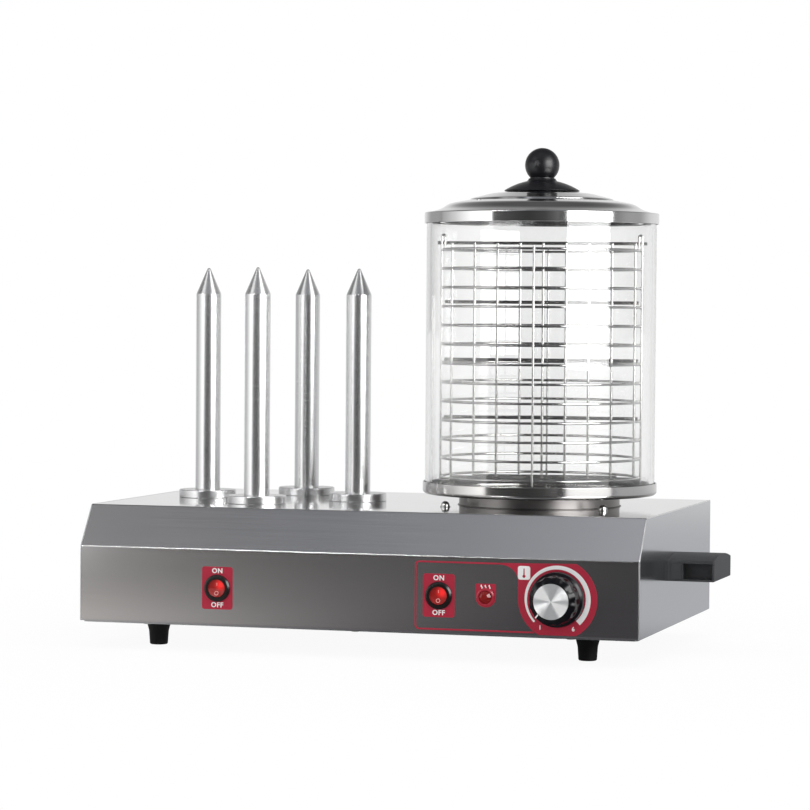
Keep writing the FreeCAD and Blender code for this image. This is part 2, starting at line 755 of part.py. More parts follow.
def water_pan():
    """Shallow pressed pan that the glass stands in."""
    r = PAN_RADIUS
    t = PAN_SHEET
    c = PAN_CORNER
    bulge = 1 - math.sqrt(0.5)
    lip = PAN_DEPTH
    path = [
        (0, 0),
        (r - c, 0),
        (r - c * bulge, c * bulge, r, c),
        (r, lip - t / 2),
        (r - t / 2, lip, r - t, lip - t / 2),
        (r - t, c),
        (r - t - (c - t) * bulge, t + (c - t) * bulge, r - c, t),
        (0, t),
    ]
    return turned(path, V(STEAMER.x, STEAMER.y, PAN_Z))


def glass_cylinder():
    """Open glass tube with ground rims."""
    at = V(STEAMER.x, STEAMER.y, GLASS_Z)
    r = GLASS_RADIUS
    w = GLASS_WALL
    rim = w / 4
    h = GLASS_HEIGHT
    path = [
        (r - w + rim, 0),
        (r - rim, 0),
        (r, rim),
        (r, h - rim),
        (r - rim, h),
        (r - w + rim, h),
        (r - w, h - rim),
        (r - w, rim),
    ]
    return turned(path, at)


def basket_point(along, z, across=0.0):
    """A point in the basket's own turned frame, measured up from the pan's floor."""
    turn = math.radians(BASKET_TURN)
    x = along * math.cos(turn) - across * math.sin(turn)
    y = along * math.sin(turn) + across * math.cos(turn)
    return V(STEAMER.x + x, STEAMER.y + y, PAN_FLOOR_Z + z)


def ring_heights():
    """Heights of the basket's rings above the pan's floor."""
    return [RING_LOWEST + i * RING_PITCH for i in range(RING_COUNT)]


def basket_rings():
    """Thirteen wire rings, one above another."""
    centre = V(STEAMER.x, STEAMER.y, PAN_FLOOR_Z)
    return [wire_ring(RING_RADIUS, RING_WIRE, z, centre) for z in ring_heights()]


def basket_posts():
    """Four upright wires welded outside the rings; the left and right ones end in a hook."""
    top = ring_heights()[-1] + RING_WIRE
    crown = top + HOOK_RISE
    wires = []
    for side in (-1, 1):
        low = basket_point(0, BASKET_FOOT_GAP, side * POST_REACH)
        wires.append(wire_bar(low, basket_point(0, top, side * POST_REACH), POST_WIRE))
        path = [basket_point(side * POST_REACH, BASKET_FOOT_GAP),
                basket_point(side * POST_REACH, crown),
                basket_point(side * HOOK_ALONG, crown),
                basket_point(side * HOOK_ALONG, top)]
        wires.append(tube_along(path, POST_WIRE / 2, HOOK_REACH / 2 - FIT))
    return wires


def basket_divider():
    """Flat wire grid across the middle of the basket, its top rail beside the posts and past them."""
    beside = GRID_WIRE / 2 + GRID_BAR / 2 - WELD_SINK
    reach = math.sqrt((RING_RADIUS - RING_WIRE / 2) ** 2 - (beside + GRID_BAR / 2) ** 2)
    aside = POST_WIRE / 2 + GRID_BAR / 2 * WIRE_FLAT
    low = RING_LOWEST - RING_WIRE / 2
    top = ring_heights()[-1] + GRID_TOP_RISE
    wires = []
    for i in range(GRID_UPRIGHTS):
        along = (i - (GRID_UPRIGHTS - 1) / 2) * GRID_PITCH + GRID_OFFSET
        wires.append(wire_bar(basket_point(along, low), basket_point(along, top), GRID_WIRE))
    for i in range(GRID_BAR_COUNT):
        z = GRID_LOWEST_BAR + i * GRID_BAR_PITCH
        wires.append(wire_bar(basket_point(-reach, z, beside), basket_point(reach, z, beside),
                              GRID_BAR))
    wires.append(wire_bar(basket_point(-RAIL_REACH, top, aside), basket_point(RAIL_REACH, top, aside),
                          GRID_BAR))
    return wires[0].multiFuse(wires[1:])


def basket_floor():
    """Straight wires under the lowest ring."""
    drop = RING_LOWEST - RING_WIRE / 2 - GRID_WIRE / 2
    wires = []
    for i in range(FLOOR_WIRES):
        across = (i - (FLOOR_WIRES - 1) / 2) * FLOOR_PITCH
        reach = math.sqrt(RING_RADIUS ** 2 - across ** 2)
        wires.append(wire_bar(basket_point(-reach, drop, across), basket_point(reach, drop, across),
                              GRID_WIRE))
    return wires


# ---------------------------------------------------------------- lid
def lid_line():
    """Outer line of the lid from its middle to its flat rim, as radius and height above the rim."""
    return [(r * LID_RADIUS, z * LID_RISE) for r, z in LID_STEPS]


def lid_height(radius):
    """Height of the lid's outer face above its rim at a radius."""
    line = lid_line()
    for (r0, z0), (r1, z1) in zip(line, line[1:]):
        if r0 <= radius <= r1:
            return z0 + (z1 - z0) * (radius - r0) / (r1 - r0)
    return 0


def lid():
    """Pressed stainless lid: stepped dome, flat rim and a deep outer band."""
    at = V(STEAMER.x, STEAMER.y, LID_EDGE_Z)
    t = LID_SHEET
    outside = lid_line()
    inside = [(max(r - LID_LEAN * t, 0), z - t) for r, z in outside]
    bulge = 1 - math.sqrt(0.5)
    path = outside + [(LID_RADIUS - t, 0)]
    path += [(LID_RADIUS - t * bulge, -t * bulge, LID_RADIUS, -t)]
    path += [(LID_RADIUS, -LID_BAND_HEIGHT), (LID_RADIUS - t, -LID_BAND_HEIGHT)]
    path += [(LID_RADIUS - t, -t)] + list(reversed(inside))
    shell = turned(path, at)
    angle = math.radians(VENT_HOLE_ANGLE)
    hole = at + V(VENT_HOLE_RING * math.cos(angle), VENT_HOLE_RING * math.sin(angle), 0)
    tools = [rod(VENT_HOLE_RADIUS, hole, hole + V(0, 0, LID_RISE))]
    tools.append(rod(KNOB_SCREW_RADIUS + FIT, at, at + V(0, 0, LID_RISE + LID_SHEET)))
    return cut_all(shell, tools)


def lid_ring():
    """Inner ring welded under the lid; it drops inside the glass and keeps the lid centred."""
    at = V(STEAMER.x, STEAMER.y, LID_EDGE_Z)
    t = LID_SHEET
    r = LID_RING_RADIUS
    low = LID_SEAT_Z - LID_EDGE_Z - LID_RING_DROP
    high = lid_height(r + LID_LEAN * t) - t - FIT
    path = [
        (r - t - LID_RING_FOOT, low),
        (r, low),
        (r, high),
        (r - t, high),
        (r - t, low + t),
        (r - t - LID_RING_FOOT, low + t),
    ]
    return turned(path, at)


def lid_knob():
    """Ball knob on a waisted neck with an umbrella flange below."""
    at = V(STEAMER.x, STEAMER.y, LID_TOP_Z)
    base = KNOB_BOSS_HEIGHT
    flange_top = base + KNOB_FLANGE_HEIGHT
    ball_z = KNOB_HEIGHT - KNOB_BALL_RADIUS
    neck = KNOB_NECK_RADIUS
    drop = math.sqrt(KNOB_BALL_RADIUS ** 2 - neck ** 2)
    crown_share, rise_share = KNOB_FLANGE_CROWN
    spread, lift = KNOB_NECK_FILLET
    bore_top = KNOB_SCREW_BITE + BORE_SPARE
    path = [
        (KNOB_SCREW_RADIUS, 0),
        (KNOB_BOSS_RADIUS, 0),
        (KNOB_BOSS_RADIUS, base),
        (KNOB_FLANGE_RADIUS, base),
        (KNOB_FLANGE_RADIUS, base + KNOB_FLANGE_EDGE),
        (KNOB_FLANGE_RADIUS * crown_share, base + KNOB_FLANGE_HEIGHT * rise_share,
         KNOB_BOSS_RADIUS, flange_top),
        (neck + spread, flange_top + lift),
        (neck, ball_z - drop),
        (KNOB_BALL_RADIUS, ball_z, 0, KNOB_HEIGHT),
        (0, bore_top),
        (KNOB_SCREW_RADIUS, bore_top),
    ]
    return turned(path, at)


def knob_washer():
    """Washer under the lid's middle."""
    low = V(STEAMER.x, STEAMER.y, LID_TOP_Z - LID_SHEET - KNOB_WASHER_HEIGHT)
    return ring(KNOB_WASHER_RADIUS, KNOB_SCREW_RADIUS + FIT, KNOB_WASHER_HEIGHT, low)


def knob_screw():
    """Screw up through the lid into the knob."""
    at = V(STEAMER.x, STEAMER.y, LID_TOP_Z)
    seat = at - V(0, 0, LID_SHEET + KNOB_WASHER_HEIGHT)
    shank = rod(KNOB_SCREW_RADIUS - FIT, seat, at + V(0, 0, KNOB_SCREW_BITE))
    head = Part.makeCylinder(2 * KNOB_SCREW_RADIUS, KNOB_SCREW_RADIUS,
                             seat - V(0, 0, KNOB_SCREW_RADIUS))
    return shank.fuse(head)


# ---------------------------------------------------------------- controls
def rocker_pivot(x):
    """Centre of a rocker's ball, just behind the front sheet's face."""
    return V(x, FRONT_Y + ROCKER_PIN_INSET, CONTROL_Z)


def rocker_pin(x, radius, slack):
    """Both stub pins of a rocker as one bar through the switch barrel's wall."""
    reach = X_AXIS * (SWITCH_BODY_RADIUS - ROCKER_GAP + slack)
    return rod(radius + slack, rocker_pivot(x) - reach, rocker_pivot(x) + reach)


def switch_body(x):
    """Round snap-in switch: bezel in front, barrel and terminal tabs behind."""
    at = V(x, FRONT_Y, CONTROL_Z)
    bore = SWITCH_BORE
    barrel = SWITCH_BODY_RADIUS
    depth = SWITCH_BODY_DEPTH
    crown = SWITCH_BEZEL_HEIGHT
    rim = SWITCH_BEZEL_RADIUS
    roll = SWITCH_BEZEL_ROLL
    bulge = roll * (1 - math.sqrt(0.5))
    edge = SWITCH_BEZEL_EDGE
    well = -ROCKER_PIN_INSET - ROCKER_BALL_RADIUS
    path = [
        (0, -depth),
        (barrel, -depth),
        (barrel, 0),
        (rim, 0),
        (rim, crown - roll),
        (rim - bulge, crown - bulge, rim - roll, crown),
        (bore + edge, crown),
        (bore, crown - edge),
        (bore, well),
        (0, well),
    ]
    body = turned_front(path, at)
    for i in range(TAB_COUNT):
        z = CONTROL_Z + (i - (TAB_COUNT - 1) / 2) * TAB_PITCH
        y = FRONT_Y + depth
        body = body.fuse(slab(x - TAB_WIDTH / 2, x + TAB_WIDTH / 2, y, y + TAB_LENGTH,
                              z - TAB_SHEET / 2, z + TAB_SHEET / 2))
    return body.cut(rocker_pin(x, ROCKER_PIN_RADIUS, SHAFT_CLEARANCE))


def rocker(x):
    """Round rocker with two flat faces that meet in a shallow valley; its upper half is pressed."""
    pivot = rocker_pivot(x)
    size = ROCKER_BALL_RADIUS
    rise = size * math.tan(math.radians(ROCKER_FACE_ANGLE))
    valley = -ROCKER_CROWN
    outline = [(ROCKER_BACK, -size), (valley - rise, -size), (valley, 0), (valley - rise, size),
               (ROCKER_BACK, size)]
    points = [pivot + V(-size, y, z) for y, z in outline]
    block = Part.Face(Part.makePolygon(points + points[:1])).extrude(X_AXIS * 2 * size)
    body = Part.makeSphere(size, pivot).common(block).fuse(rocker_pin(x, ROCKER_PIN_RADIUS, 0))
    body.rotate(pivot, X_AXIS, -ROCKER_FACE_ANGLE)
    return body


def lamp_body():
    """Indicator lamp: front ring and barrel."""
    at = V(LAMP_X, FRONT_Y, CONTROL_Z)
    lens = LAMP_LENS_RADIUS + FIT
    h = LAMP_RING_HEIGHT
    path = [
        (0, -LAMP_BODY_DEPTH),
        (LAMP_BODY_RADIUS, -LAMP_BODY_DEPTH),
        (LAMP_BODY_RADIUS, 0),
        (LAMP_RING_RADIUS, 0),
        (LAMP_RING_RADIUS, h - LAMP_RING_CHAMFER),
        (LAMP_RING_RADIUS - LAMP_RING_CHAMFER, h),
        (lens, h),
        (lens, LAMP_SEAT),
        (0, LAMP_SEAT),
    ]
    return turned_front(path, at)


def lamp_lens():
    """Faceted lens: a short drum, a band of flat facets and a flat crown."""
    at = V(LAMP_X, FRONT_Y - LAMP_SEAT, CONTROL_Z)
    base = V(LAMP_X, FRONT_Y - LAMP_RING_HEIGHT, CONTROL_Z)
    drum = rod(LAMP_LENS_RADIUS, at, base)
    rings = []
    for radius, reach in ((LAMP_LENS_RADIUS, 0), (LAMP_CROWN_RADIUS, LAMP_CROWN_HEIGHT)):
        points = []
        for i in range(LAMP_LENS_FACETS + 1):
            angle = 2 * math.pi * i / LAMP_LENS_FACETS
            points.append(base + V(radius * math.cos(angle), -reach, radius * math.sin(angle)))
        rings.append(Part.makePolygon(points))
    crown = Part.makeLoft(rings, True, True)
    return drum.fuse(crown)


def thermostat():
    """Thermostat behind the front, with the bore that its shaft turns in."""
    y = FRONT_Y + SHEET
    half = THERMOSTAT_SIZE / 2
    body = slab(THERMOSTAT_X - half, THERMOSTAT_X + half, y, y + THERMOSTAT_DEPTH,
                CONTROL_Z - half, CONTROL_Z + half)
    long_edges = [e for e in body.Edges if abs(e.tangentAt(e.FirstParameter).y) > 0.9]
    body = body.makeFillet(THERMOSTAT_CORNER, long_edges)
    at = V(THERMOSTAT_X, y, CONTROL_Z)
    tools = [rod(SHAFT_RADIUS + SHAFT_CLEARANCE, at, at + V(0, SHAFT_INSET + BORE_SPARE, 0))]
    for p in thermostat_screw_places():
        tools.append(rod(M4_RADIUS + FIT, p, p + V(0, SHEET + SHAFT_INSET, 0)))
    return cut_all(body, tools)


def thermostat_screw(p):
    """Countersunk-size screw under the knob."""
    shank = rod(M4_RADIUS, p, p + V(0, SHEET + SHAFT_INSET - BORE_SPARE, 0))
    head = rod(M4_HEAD_RADIUS, p - V(0, M4_HEAD_HEIGHT, 0), p)
    return shank.fuse(head)


def shaft_section(start, end, radius, flat):
    """A round bar along Y with one flat, as on a D-shaped shaft."""
    bar = rod(radius, start, end)
    low, high = sorted((start.y, end.y))
    level = start.z + radius - flat
    wide = 2 * radius
    return bar.cut(slab(start.x - wide, start.x + wide, low, high, level, level + wide))


def thermostat_shaft():
    """Turning shaft: round where it runs in the thermostat, D-shaped inside the knob."""
    back = V(THERMOSTAT_X, FRONT_Y + SHEET + SHAFT_INSET, CONTROL_Z)
    front = V(THERMOSTAT_X, FRONT_Y - KNOB_GAP, CONTROL_Z)
    tip = front - V(0, SHAFT_LENGTH, 0)
    return rod(SHAFT_RADIUS, back, front).fuse(shaft_section(front, tip, SHAFT_RADIUS, SHAFT_FLAT))


def control_knob():
    """Thermostat knob: flared skirt, fluted grip and a seat for the metal disc."""
    at = V(THERMOSTAT_X, FRONT_Y, CONTROL_Z)
    gap = KNOB_GAP
    seat = KNOB_DEPTH - DISC_HEIGHT
    wall = KNOB_WALL
    inside = KNOB_RADIUS - wall
    path = [
        (SHAFT_RADIUS + 2 * wall, gap),
        (SHAFT_RADIUS + 2 * wall, gap + KNOB_RECESS),
        (inside, gap + KNOB_RECESS),
        (inside, gap),
        (KNOB_RADIUS, gap),
        (KNOB_RADIUS, KNOB_SKIRT - KNOB_EDGE),
        (KNOB_RADIUS - KNOB_EDGE, KNOB_SKIRT),
        (KNOB_GRIP_RADIUS, KNOB_SKIRT + KNOB_FLARE),
        (KNOB_GRIP_RADIUS, KNOB_STEP),
        (KNOB_FACE_RADIUS, KNOB_STEP + KNOB_SHOULDER),
        (KNOB_FACE_RADIUS, KNOB_DEPTH - KNOB_EDGE),
        (KNOB_FACE_RADIUS - KNOB_EDGE, KNOB_DEPTH),
        (KNOB_DISC_RADIUS, KNOB_DEPTH),
        (KNOB_DISC_RADIUS, seat),
        (0, seat),
        (0, gap),
    ]
    body = turned_front(path, at)
    tools = []
    for i in range(KNOB_FLUTES):
        angle = 2 * math.pi * (i + 0.5) / KNOB_FLUTES
        reach = KNOB_GRIP_RADIUS + KNOB_FLUTE_SET
        p = at + V(reach * math.cos(angle), -KNOB_SKIRT - KNOB_FLARE, reach * math.sin(angle))
        tools.append(rod(KNOB_FLUTE_RADIUS, p, p - V(0, KNOB_DEPTH, 0)))
    front = V(THERMOSTAT_X, FRONT_Y - gap, CONTROL_Z)
    tip = front - V(0, SHAFT_LENGTH + BORE_SPARE, 0)
    tools.append(shaft_section(front, tip, SHAFT_RADIUS + FIT, SHAFT_FLAT))
    return cut_all(body, tools)


def knob_disc():
    """Thin spun disc in the knob's face."""
    at = V(THERMOSTAT_X, FRONT_Y - KNOB_DEPTH + DISC_HEIGHT, CONTROL_Z)
    return rod(KNOB_DISC_RADIUS - FIT, at, at - V(0, DISC_HEIGHT, 0))


# ---------------------------------------------------------------- under the pan
def element_z():
    """Height of the heating element's centre line, just under the pan."""
    return PAN_Z - ELEMENT_TUBE - FIT


def heating_element():
    """Tubular element bent to an open ring, with two cold legs down."""
    half = ELEMENT_LEG_SPACING / 2
    open_angle = math.degrees(math.asin(half / ELEMENT_RADIUS))
    centre = V(STEAMER.x, STEAMER.y, element_z())
    bow = Part.makeTorus(ELEMENT_RADIUS, ELEMENT_TUBE, centre, Z_AXIS, 0, 360, 360 - 2 * open_angle)
    bow.rotate(centre, Z_AXIS, 90 + open_angle)
    body = bow
    reach = math.sqrt(ELEMENT_RADIUS ** 2 - half ** 2)
    for side in (-1, 1):
        top = centre + V(side * half, reach, 0)
        body = body.fuse(Part.makeSphere(ELEMENT_TUBE, top))
        body = body.fuse(rod(ELEMENT_LEG_RADIUS, top, top - V(0, 0, ELEMENT_LEG_DROP)))
    return body


def clamp_z():
    """Underside of the element's clamp plate."""
    return element_z() - ELEMENT_TUBE - FIT - CLAMP_SHEET


def element_clamp():
    """Plate that presses the element against the pan, with holes for the legs."""
    low = V(STEAMER.x, STEAMER.y, clamp_z())
    plate = ring(CLAMP_RADIUS, PAN_STUD_RADIUS + FIT, CLAMP_SHEET, low)
    half = ELEMENT_LEG_SPACING / 2
    reach = math.sqrt(ELEMENT_RADIUS ** 2 - half ** 2)
    tools = []
    for side in (-1, 1):
        p = low + V(side * half, reach, -SHEET)
        tools.append(Part.makeCylinder(ELEMENT_LEG_RADIUS + SCREW_CLEARANCE, 4 * SHEET, p))
    return cut_all(plate, tools)


def pan_stud():
    """Threaded stud welded under the pan."""
    top = V(STEAMER.x, STEAMER.y, PAN_Z)
    low = V(STEAMER.x, STEAMER.y, clamp_z() - PAN_NUT_HEIGHT - THREAD_SPARE)
    return rod(PAN_STUD_RADIUS, low, top)


def pan_nut():
    """Nut that pulls the clamp plate up."""
    seat = V(STEAMER.x, STEAMER.y, clamp_z() - PAN_NUT_HEIGHT)
    return nut(seat, PAN_NUT_RADIUS, PAN_NUT_HEIGHT, PAN_STUD_RADIUS + FIT)


def dry_run_cutout():
    """Safety cut-out disc on the underside of the clamp plate."""
    at = V(STEAMER.x, STEAMER.y + CUTOUT_Y, clamp_z() - CUTOUT_HEIGHT)
    body = Part.makeCylinder(CUTOUT_RADIUS, CUTOUT_HEIGHT, at)
    for side in (-1, 1):
        x = at.x + side * CUTOUT_RADIUS / 2
        half = CUTOUT_TAB_WIDTH / 2
        body = body.fuse(slab(x - TAB_SHEET / 2, x + TAB_SHEET / 2, at.y - half, at.y + half,
                              at.z - CUTOUT_TAB_LENGTH, at.z))
    return body


def sensing_bulb():
    """Thermostat bulb under the clamp plate, with its capillary tube to the thermostat."""
    z = clamp_z() - BULB_RADIUS
    y = STEAMER.y + BULB_Y
    bulb = rod(BULB_RADIUS, V(STEAMER.x - BULB_LENGTH / 2, y, z), V(STEAMER.x + BULB_LENGTH / 2, y, z))
    start = V(STEAMER.x + BULB_LENGTH / 2, y, z)
    drop_x = THERMOSTAT_X
    low_z = CONTROL_Z
    end_y = FRONT_Y + SHEET + THERMOSTAT_DEPTH
    path = [start, V(drop_x, y, z), V(drop_x, y, low_z), V(drop_x, end_y, low_z)]
    return bulb.fuse(tube_along(path, CAPILLARY_RADIUS, CAPILLARY_BEND))


# ---------------------------------------------------------------- wiring and supply
def terminal_block():
    """Terminal strip on the base plate, with a row of wire wells."""
    z = FOOT_HEIGHT + SHEET
    x0 = TERMINAL_X - TERMINAL_LENGTH / 2
    y0 = TERMINAL_Y - TERMINAL_DEPTH / 2
    body = slab(x0, x0 + TERMINAL_LENGTH, y0, y0 + TERMINAL_DEPTH, z, z + TERMINAL_HEIGHT)
    pitch = TERMINAL_LENGTH / TERMINAL_WAYS
    tools = []
    for i in range(TERMINAL_WAYS):
        x = x0 + pitch * (i + 0.5)
        p = V(x, TERMINAL_Y, z + TERMINAL_HEIGHT)
        tools.append(rod(TERMINAL_WELL_RADIUS, p - V(0, 0, TERMINAL_HEIGHT / 2), p))
    return cut_all(body, tools)


def earth_stud():
    """Earthing screw through the base plate."""
    p = V(EARTH_X, EARTH_Y, FOOT_HEIGHT)
    head = Part.makeCylinder(M4_HEAD_RADIUS, M4_HEAD_HEIGHT, p - V(0, 0, M4_HEAD_HEIGHT))
    return rod(M4_RADIUS, p, p + V(0, 0, EARTH_LENGTH)).fuse(head)


def cable_gland():
    """Cable gland in the back wall: hexagon, domed cap, and thread through the wall."""
    at = V(GLAND_X, BACK_Y, GLAND_Z)
    body = hexagon(GLAND_HEX_RADIUS, GLAND_HEX_HEIGHT, at, Y_AXIS)
    neck = GLAND_HEX_RADIUS * math.cos(math.pi / 6)
    cap_start = at + V(0, GLAND_HEX_HEIGHT, 0)
    cap = Part.makeCone(neck, GLAND_TIP_RADIUS, GLAND_DOME_HEIGHT, cap_start, Y_AXIS)
    thread = rod(GLAND_THREAD_RADIUS, at - V(0, GLAND_INSIDE, 0), at)
    bore = rod(GLAND_BORE_RADIUS, at - V(0, GLAND_INSIDE, 0),
               at + V(0, GLAND_HEX_HEIGHT + GLAND_DOME_HEIGHT, 0))
    return body.fuse(cap).fuse(thread).cut(bore)


def gland_nut():
    """Lock nut of the gland, inside the back wall."""
    seat = V(GLAND_X, BACK_Y - SHEET - GLAND_NUT_HEIGHT, GLAND_Z)
    return nut(seat, GLAND_HEX_RADIUS, GLAND_NUT_HEIGHT, GLAND_THREAD_RADIUS + FIT, Y_AXIS)


# ---------------------------------------------------------------- the whole part
def build():
    """Every node's shape by its name."""
    nodes = {
        "housing_wrap": housing_wrap(),
        "back_panel": back_panel(),
        "side_panel_left": side_panel(-1),
        "side_panel_right": side_panel(1),
        "base_plate": base_plate(),
        "base_screws": [base_screw(p) for p in base_screw_places()],
        "foot_screws": [foot_screw(p) for p in foot_places()],
        "handle_left": side_handle(-1),
        "handle_right": side_handle(1),
        "handle_screws": [handle_screw(p, side) for side in (-1, 1) for p in handle_screw_places(side)],
        "heater_collar": heater_collar(),
        "collar_screws": [collar_screw(p) for p in collar_screw_places()],
        "water_pan": water_pan(),
        "glass_cylinder": glass_cylinder(),
        "basket_rings": basket_rings(),
        "basket_posts": basket_posts(),
        "basket_divider": basket_divider(),
        "basket_floor": basket_floor(),
        "lid": lid(),
        "lid_ring": lid_ring(),
        "lid_knob": lid_knob(),
        "knob_washer": knob_washer(),
        "knob_screw": knob_screw(),
        "lamp_body": lamp_body(),
        "lamp_lens": lamp_lens(),
        "thermostat": thermostat(),
        "thermostat_screws": [thermostat_screw(p) for p in thermostat_screw_places()],
        "thermostat_shaft": thermostat_shaft(),
        "control_knob": control_knob(),
        "knob_disc": knob_disc(),
        "heating_element": heating_element(),
        "element_clamp": element_clamp(),
        "pan_stud": pan_stud(),
        "pan_nut": pan_nut(),
        "dry_run_cutout": dry_run_cutout(),
        "sensing_bulb": sensing_bulb(),
        "terminal_block": terminal_block(),
        "earth_stud": earth_stud(),
        "cable_gland": cable_gland(),
        "gland_nut": gland_nut(),
    }
    names = ("front_left", "back_left", "front_right", "back_right")
    for name, p in zip(names, foot_places()):
        nodes["foot_" + name] = foot(p)
    bore = M4_RADIUS + FIT
    nodes["foot_nuts"] = [nut(p + V(0, 0, SHEET), M4_NUT_RADIUS, M4_NUT_HEIGHT, bore)
                          for p in foot_places()]
    nodes["collar_nuts"] = [nut(p - V(0, 0, SHEET + M4_NUT_HEIGHT), M4_NUT_RADIUS, M4_NUT_HEIGHT, bore)
                            for p in collar_screw_places()]
    for name, p in spike_places().items():
        nodes["spike_" + name] = spike(p)
        nodes["spike_disc_" + name] = spike_disc(p)
    nodes["spike_nuts"] = [spike_nut(p) for p in spike_places().values()]
    nodes["cartridge_heaters"] = [cartridge_heater(p) for p in spike_places().values()]
    for name, x in zip(("left", "right"), SWITCH_X):
        nodes["switch_body_" + name] = switch_body(x)
        nodes["rocker_" + name] = rocker(x)
    return nodes


def main():
    """Write one STEP file per node."""
    os.makedirs("parts", exist_ok=True)
    for name, shape in build().items():
        solid = Part.makeCompound(shape) if isinstance(shape, list) else shape
        solid.exportStep("parts/" + name + ".step")
        print(name, len(solid.Solids), round(solid.Volume, 1), solid.isValid())


main()
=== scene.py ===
"""Looks of a counter-top hot dog warmer, built around its packed construction model.

Every piece is in metres in the model's own frame: +X to the right, -Y towards the controls, +Z up.
"""

import json
import math

import bmesh
import bpy
from bpy.props import FloatProperty, FloatVectorProperty, IntProperty, PointerProperty
from mathutils import Matrix, Vector

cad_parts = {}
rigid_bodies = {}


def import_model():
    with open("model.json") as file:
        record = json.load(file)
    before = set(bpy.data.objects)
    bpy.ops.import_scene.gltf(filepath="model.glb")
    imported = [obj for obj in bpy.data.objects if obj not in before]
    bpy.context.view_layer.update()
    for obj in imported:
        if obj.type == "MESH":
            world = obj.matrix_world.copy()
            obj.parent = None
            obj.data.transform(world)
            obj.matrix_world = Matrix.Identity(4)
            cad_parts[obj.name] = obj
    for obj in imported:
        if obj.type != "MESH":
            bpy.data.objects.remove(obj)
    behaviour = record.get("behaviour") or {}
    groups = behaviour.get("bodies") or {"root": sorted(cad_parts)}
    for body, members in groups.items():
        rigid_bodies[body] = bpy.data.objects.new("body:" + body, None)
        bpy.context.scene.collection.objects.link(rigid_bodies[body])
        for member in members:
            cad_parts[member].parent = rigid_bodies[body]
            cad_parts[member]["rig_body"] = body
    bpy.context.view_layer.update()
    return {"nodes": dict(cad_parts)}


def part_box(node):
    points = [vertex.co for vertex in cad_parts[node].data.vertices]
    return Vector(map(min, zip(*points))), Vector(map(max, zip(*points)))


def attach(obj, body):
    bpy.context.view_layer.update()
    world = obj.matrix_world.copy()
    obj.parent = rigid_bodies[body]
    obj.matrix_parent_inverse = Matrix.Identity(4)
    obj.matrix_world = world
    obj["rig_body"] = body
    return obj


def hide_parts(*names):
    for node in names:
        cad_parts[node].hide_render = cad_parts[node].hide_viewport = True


bl_info = {
    "name": "Hot Dog Warmer",
    "version": (1, 0, 0),
    "blender": (4, 5, 0),
    "location": "View3D > Sidebar > Warmer",
    "description": "Builds the finishes and fine pieces of a counter-top hot dog warmer",
    "category": "Add Mesh",
}

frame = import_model()
NODES = frame["nodes"]

X_AXIS = Vector((1, 0, 0))
Y_AXIS = Vector((0, 1, 0))
Z_AXIS = Vector((0, 0, 1))
UPRIGHT = (X_AXIS, Y_AXIS, Z_AXIS)
TO_FRONT = (X_AXIS, Z_AXIS, -Y_AXIS)
MM = 0.001
TINY = 1e-7
SHARP = math.radians(32)


# ---------------------------------------------------------------- places from the frame
def middle(node):
    """Middle of a node's box."""
    low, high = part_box(node)
    return (low + high) / 2


def foot_of(node):
    """Middle of the underside of a node's box."""
    at = middle(node)
    at.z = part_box(node)[0].z
    return at


def on_front(node):
    """Middle of a node's box, brought to the face of the lower front."""
    at = middle(node)
    at.y = FRONT_Y
    return at


def span(node):
    """Size of a node's box."""
    low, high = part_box(node)
    return high - low


FRONT_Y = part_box("housing_wrap")[0].y
TOP_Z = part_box("housing_wrap")[1].z
RED = "label_red"
WHITE = "label_white"
STEAMER = middle("glass_cylinder")
PAN_WALL = 0.001
GLASS_WALL = 0.004
SPIKES = ("left", "front", "back", "right")
SIDES = ("left", "right")
FEET = ("front_left", "back_left", "front_right", "back_right")


# ---------------------------------------------------------------- settings
def length(name, note, default):
    """A size in metres."""
    return FloatProperty(name=name, description=note, default=default, unit="LENGTH", precision=5)


def turn(name, note, degrees):
    """An angle."""
    return FloatProperty(name=name, description=note, default=math.radians(degrees), subtype="ANGLE")


def share(name, note, default):
    """A plain number."""
    return FloatProperty(name=name, description=note, default=default, min=0.0)


def number(name, note, default):
    """How many of something."""
    return IntProperty(name=name, description=note, default=default, min=1)


def tint(name, note, default):
    """A colour."""
    return FloatVectorProperty(name=name, description=note, default=default, subtype="COLOR",
                               size=3, min=0.0, max=1.0)


def place(name, note, default):
    """A point."""
    return FloatVectorProperty(name=name, description=note, default=default, subtype="TRANSLATION",
                               size=3)


class StudioSettings(bpy.types.PropertyGroup):
    """Camera and studio."""
    camera_place: place("Camera", "Where the camera stands", (0.8006, -2.7488, 0.2947))
    camera_heading: turn("Heading", "Turn of the view to the left of straight ahead", 16.231)
    camera_pitch: turn("Pitch", "How far the view looks down", 1.746)
    camera_roll: turn("Roll", "Turn of the picture about the view", 0.439)
    focal_mm: share("Focal length", "Focal length on a 36 mm sensor, in mm", 144.85)
    floor_colour: tint("Floor", "Colour of the floor", (0.86, 0.86, 0.86))
    front_grey: share("Front grey", "Level of the studio behind the camera, seen in metal", 0.09)
    side_grey: share("Side grey", "Level of the studio's sides, seen in metal", 0.42)
    daylight: share("Daylight", "Even light from all sides", 0.85)


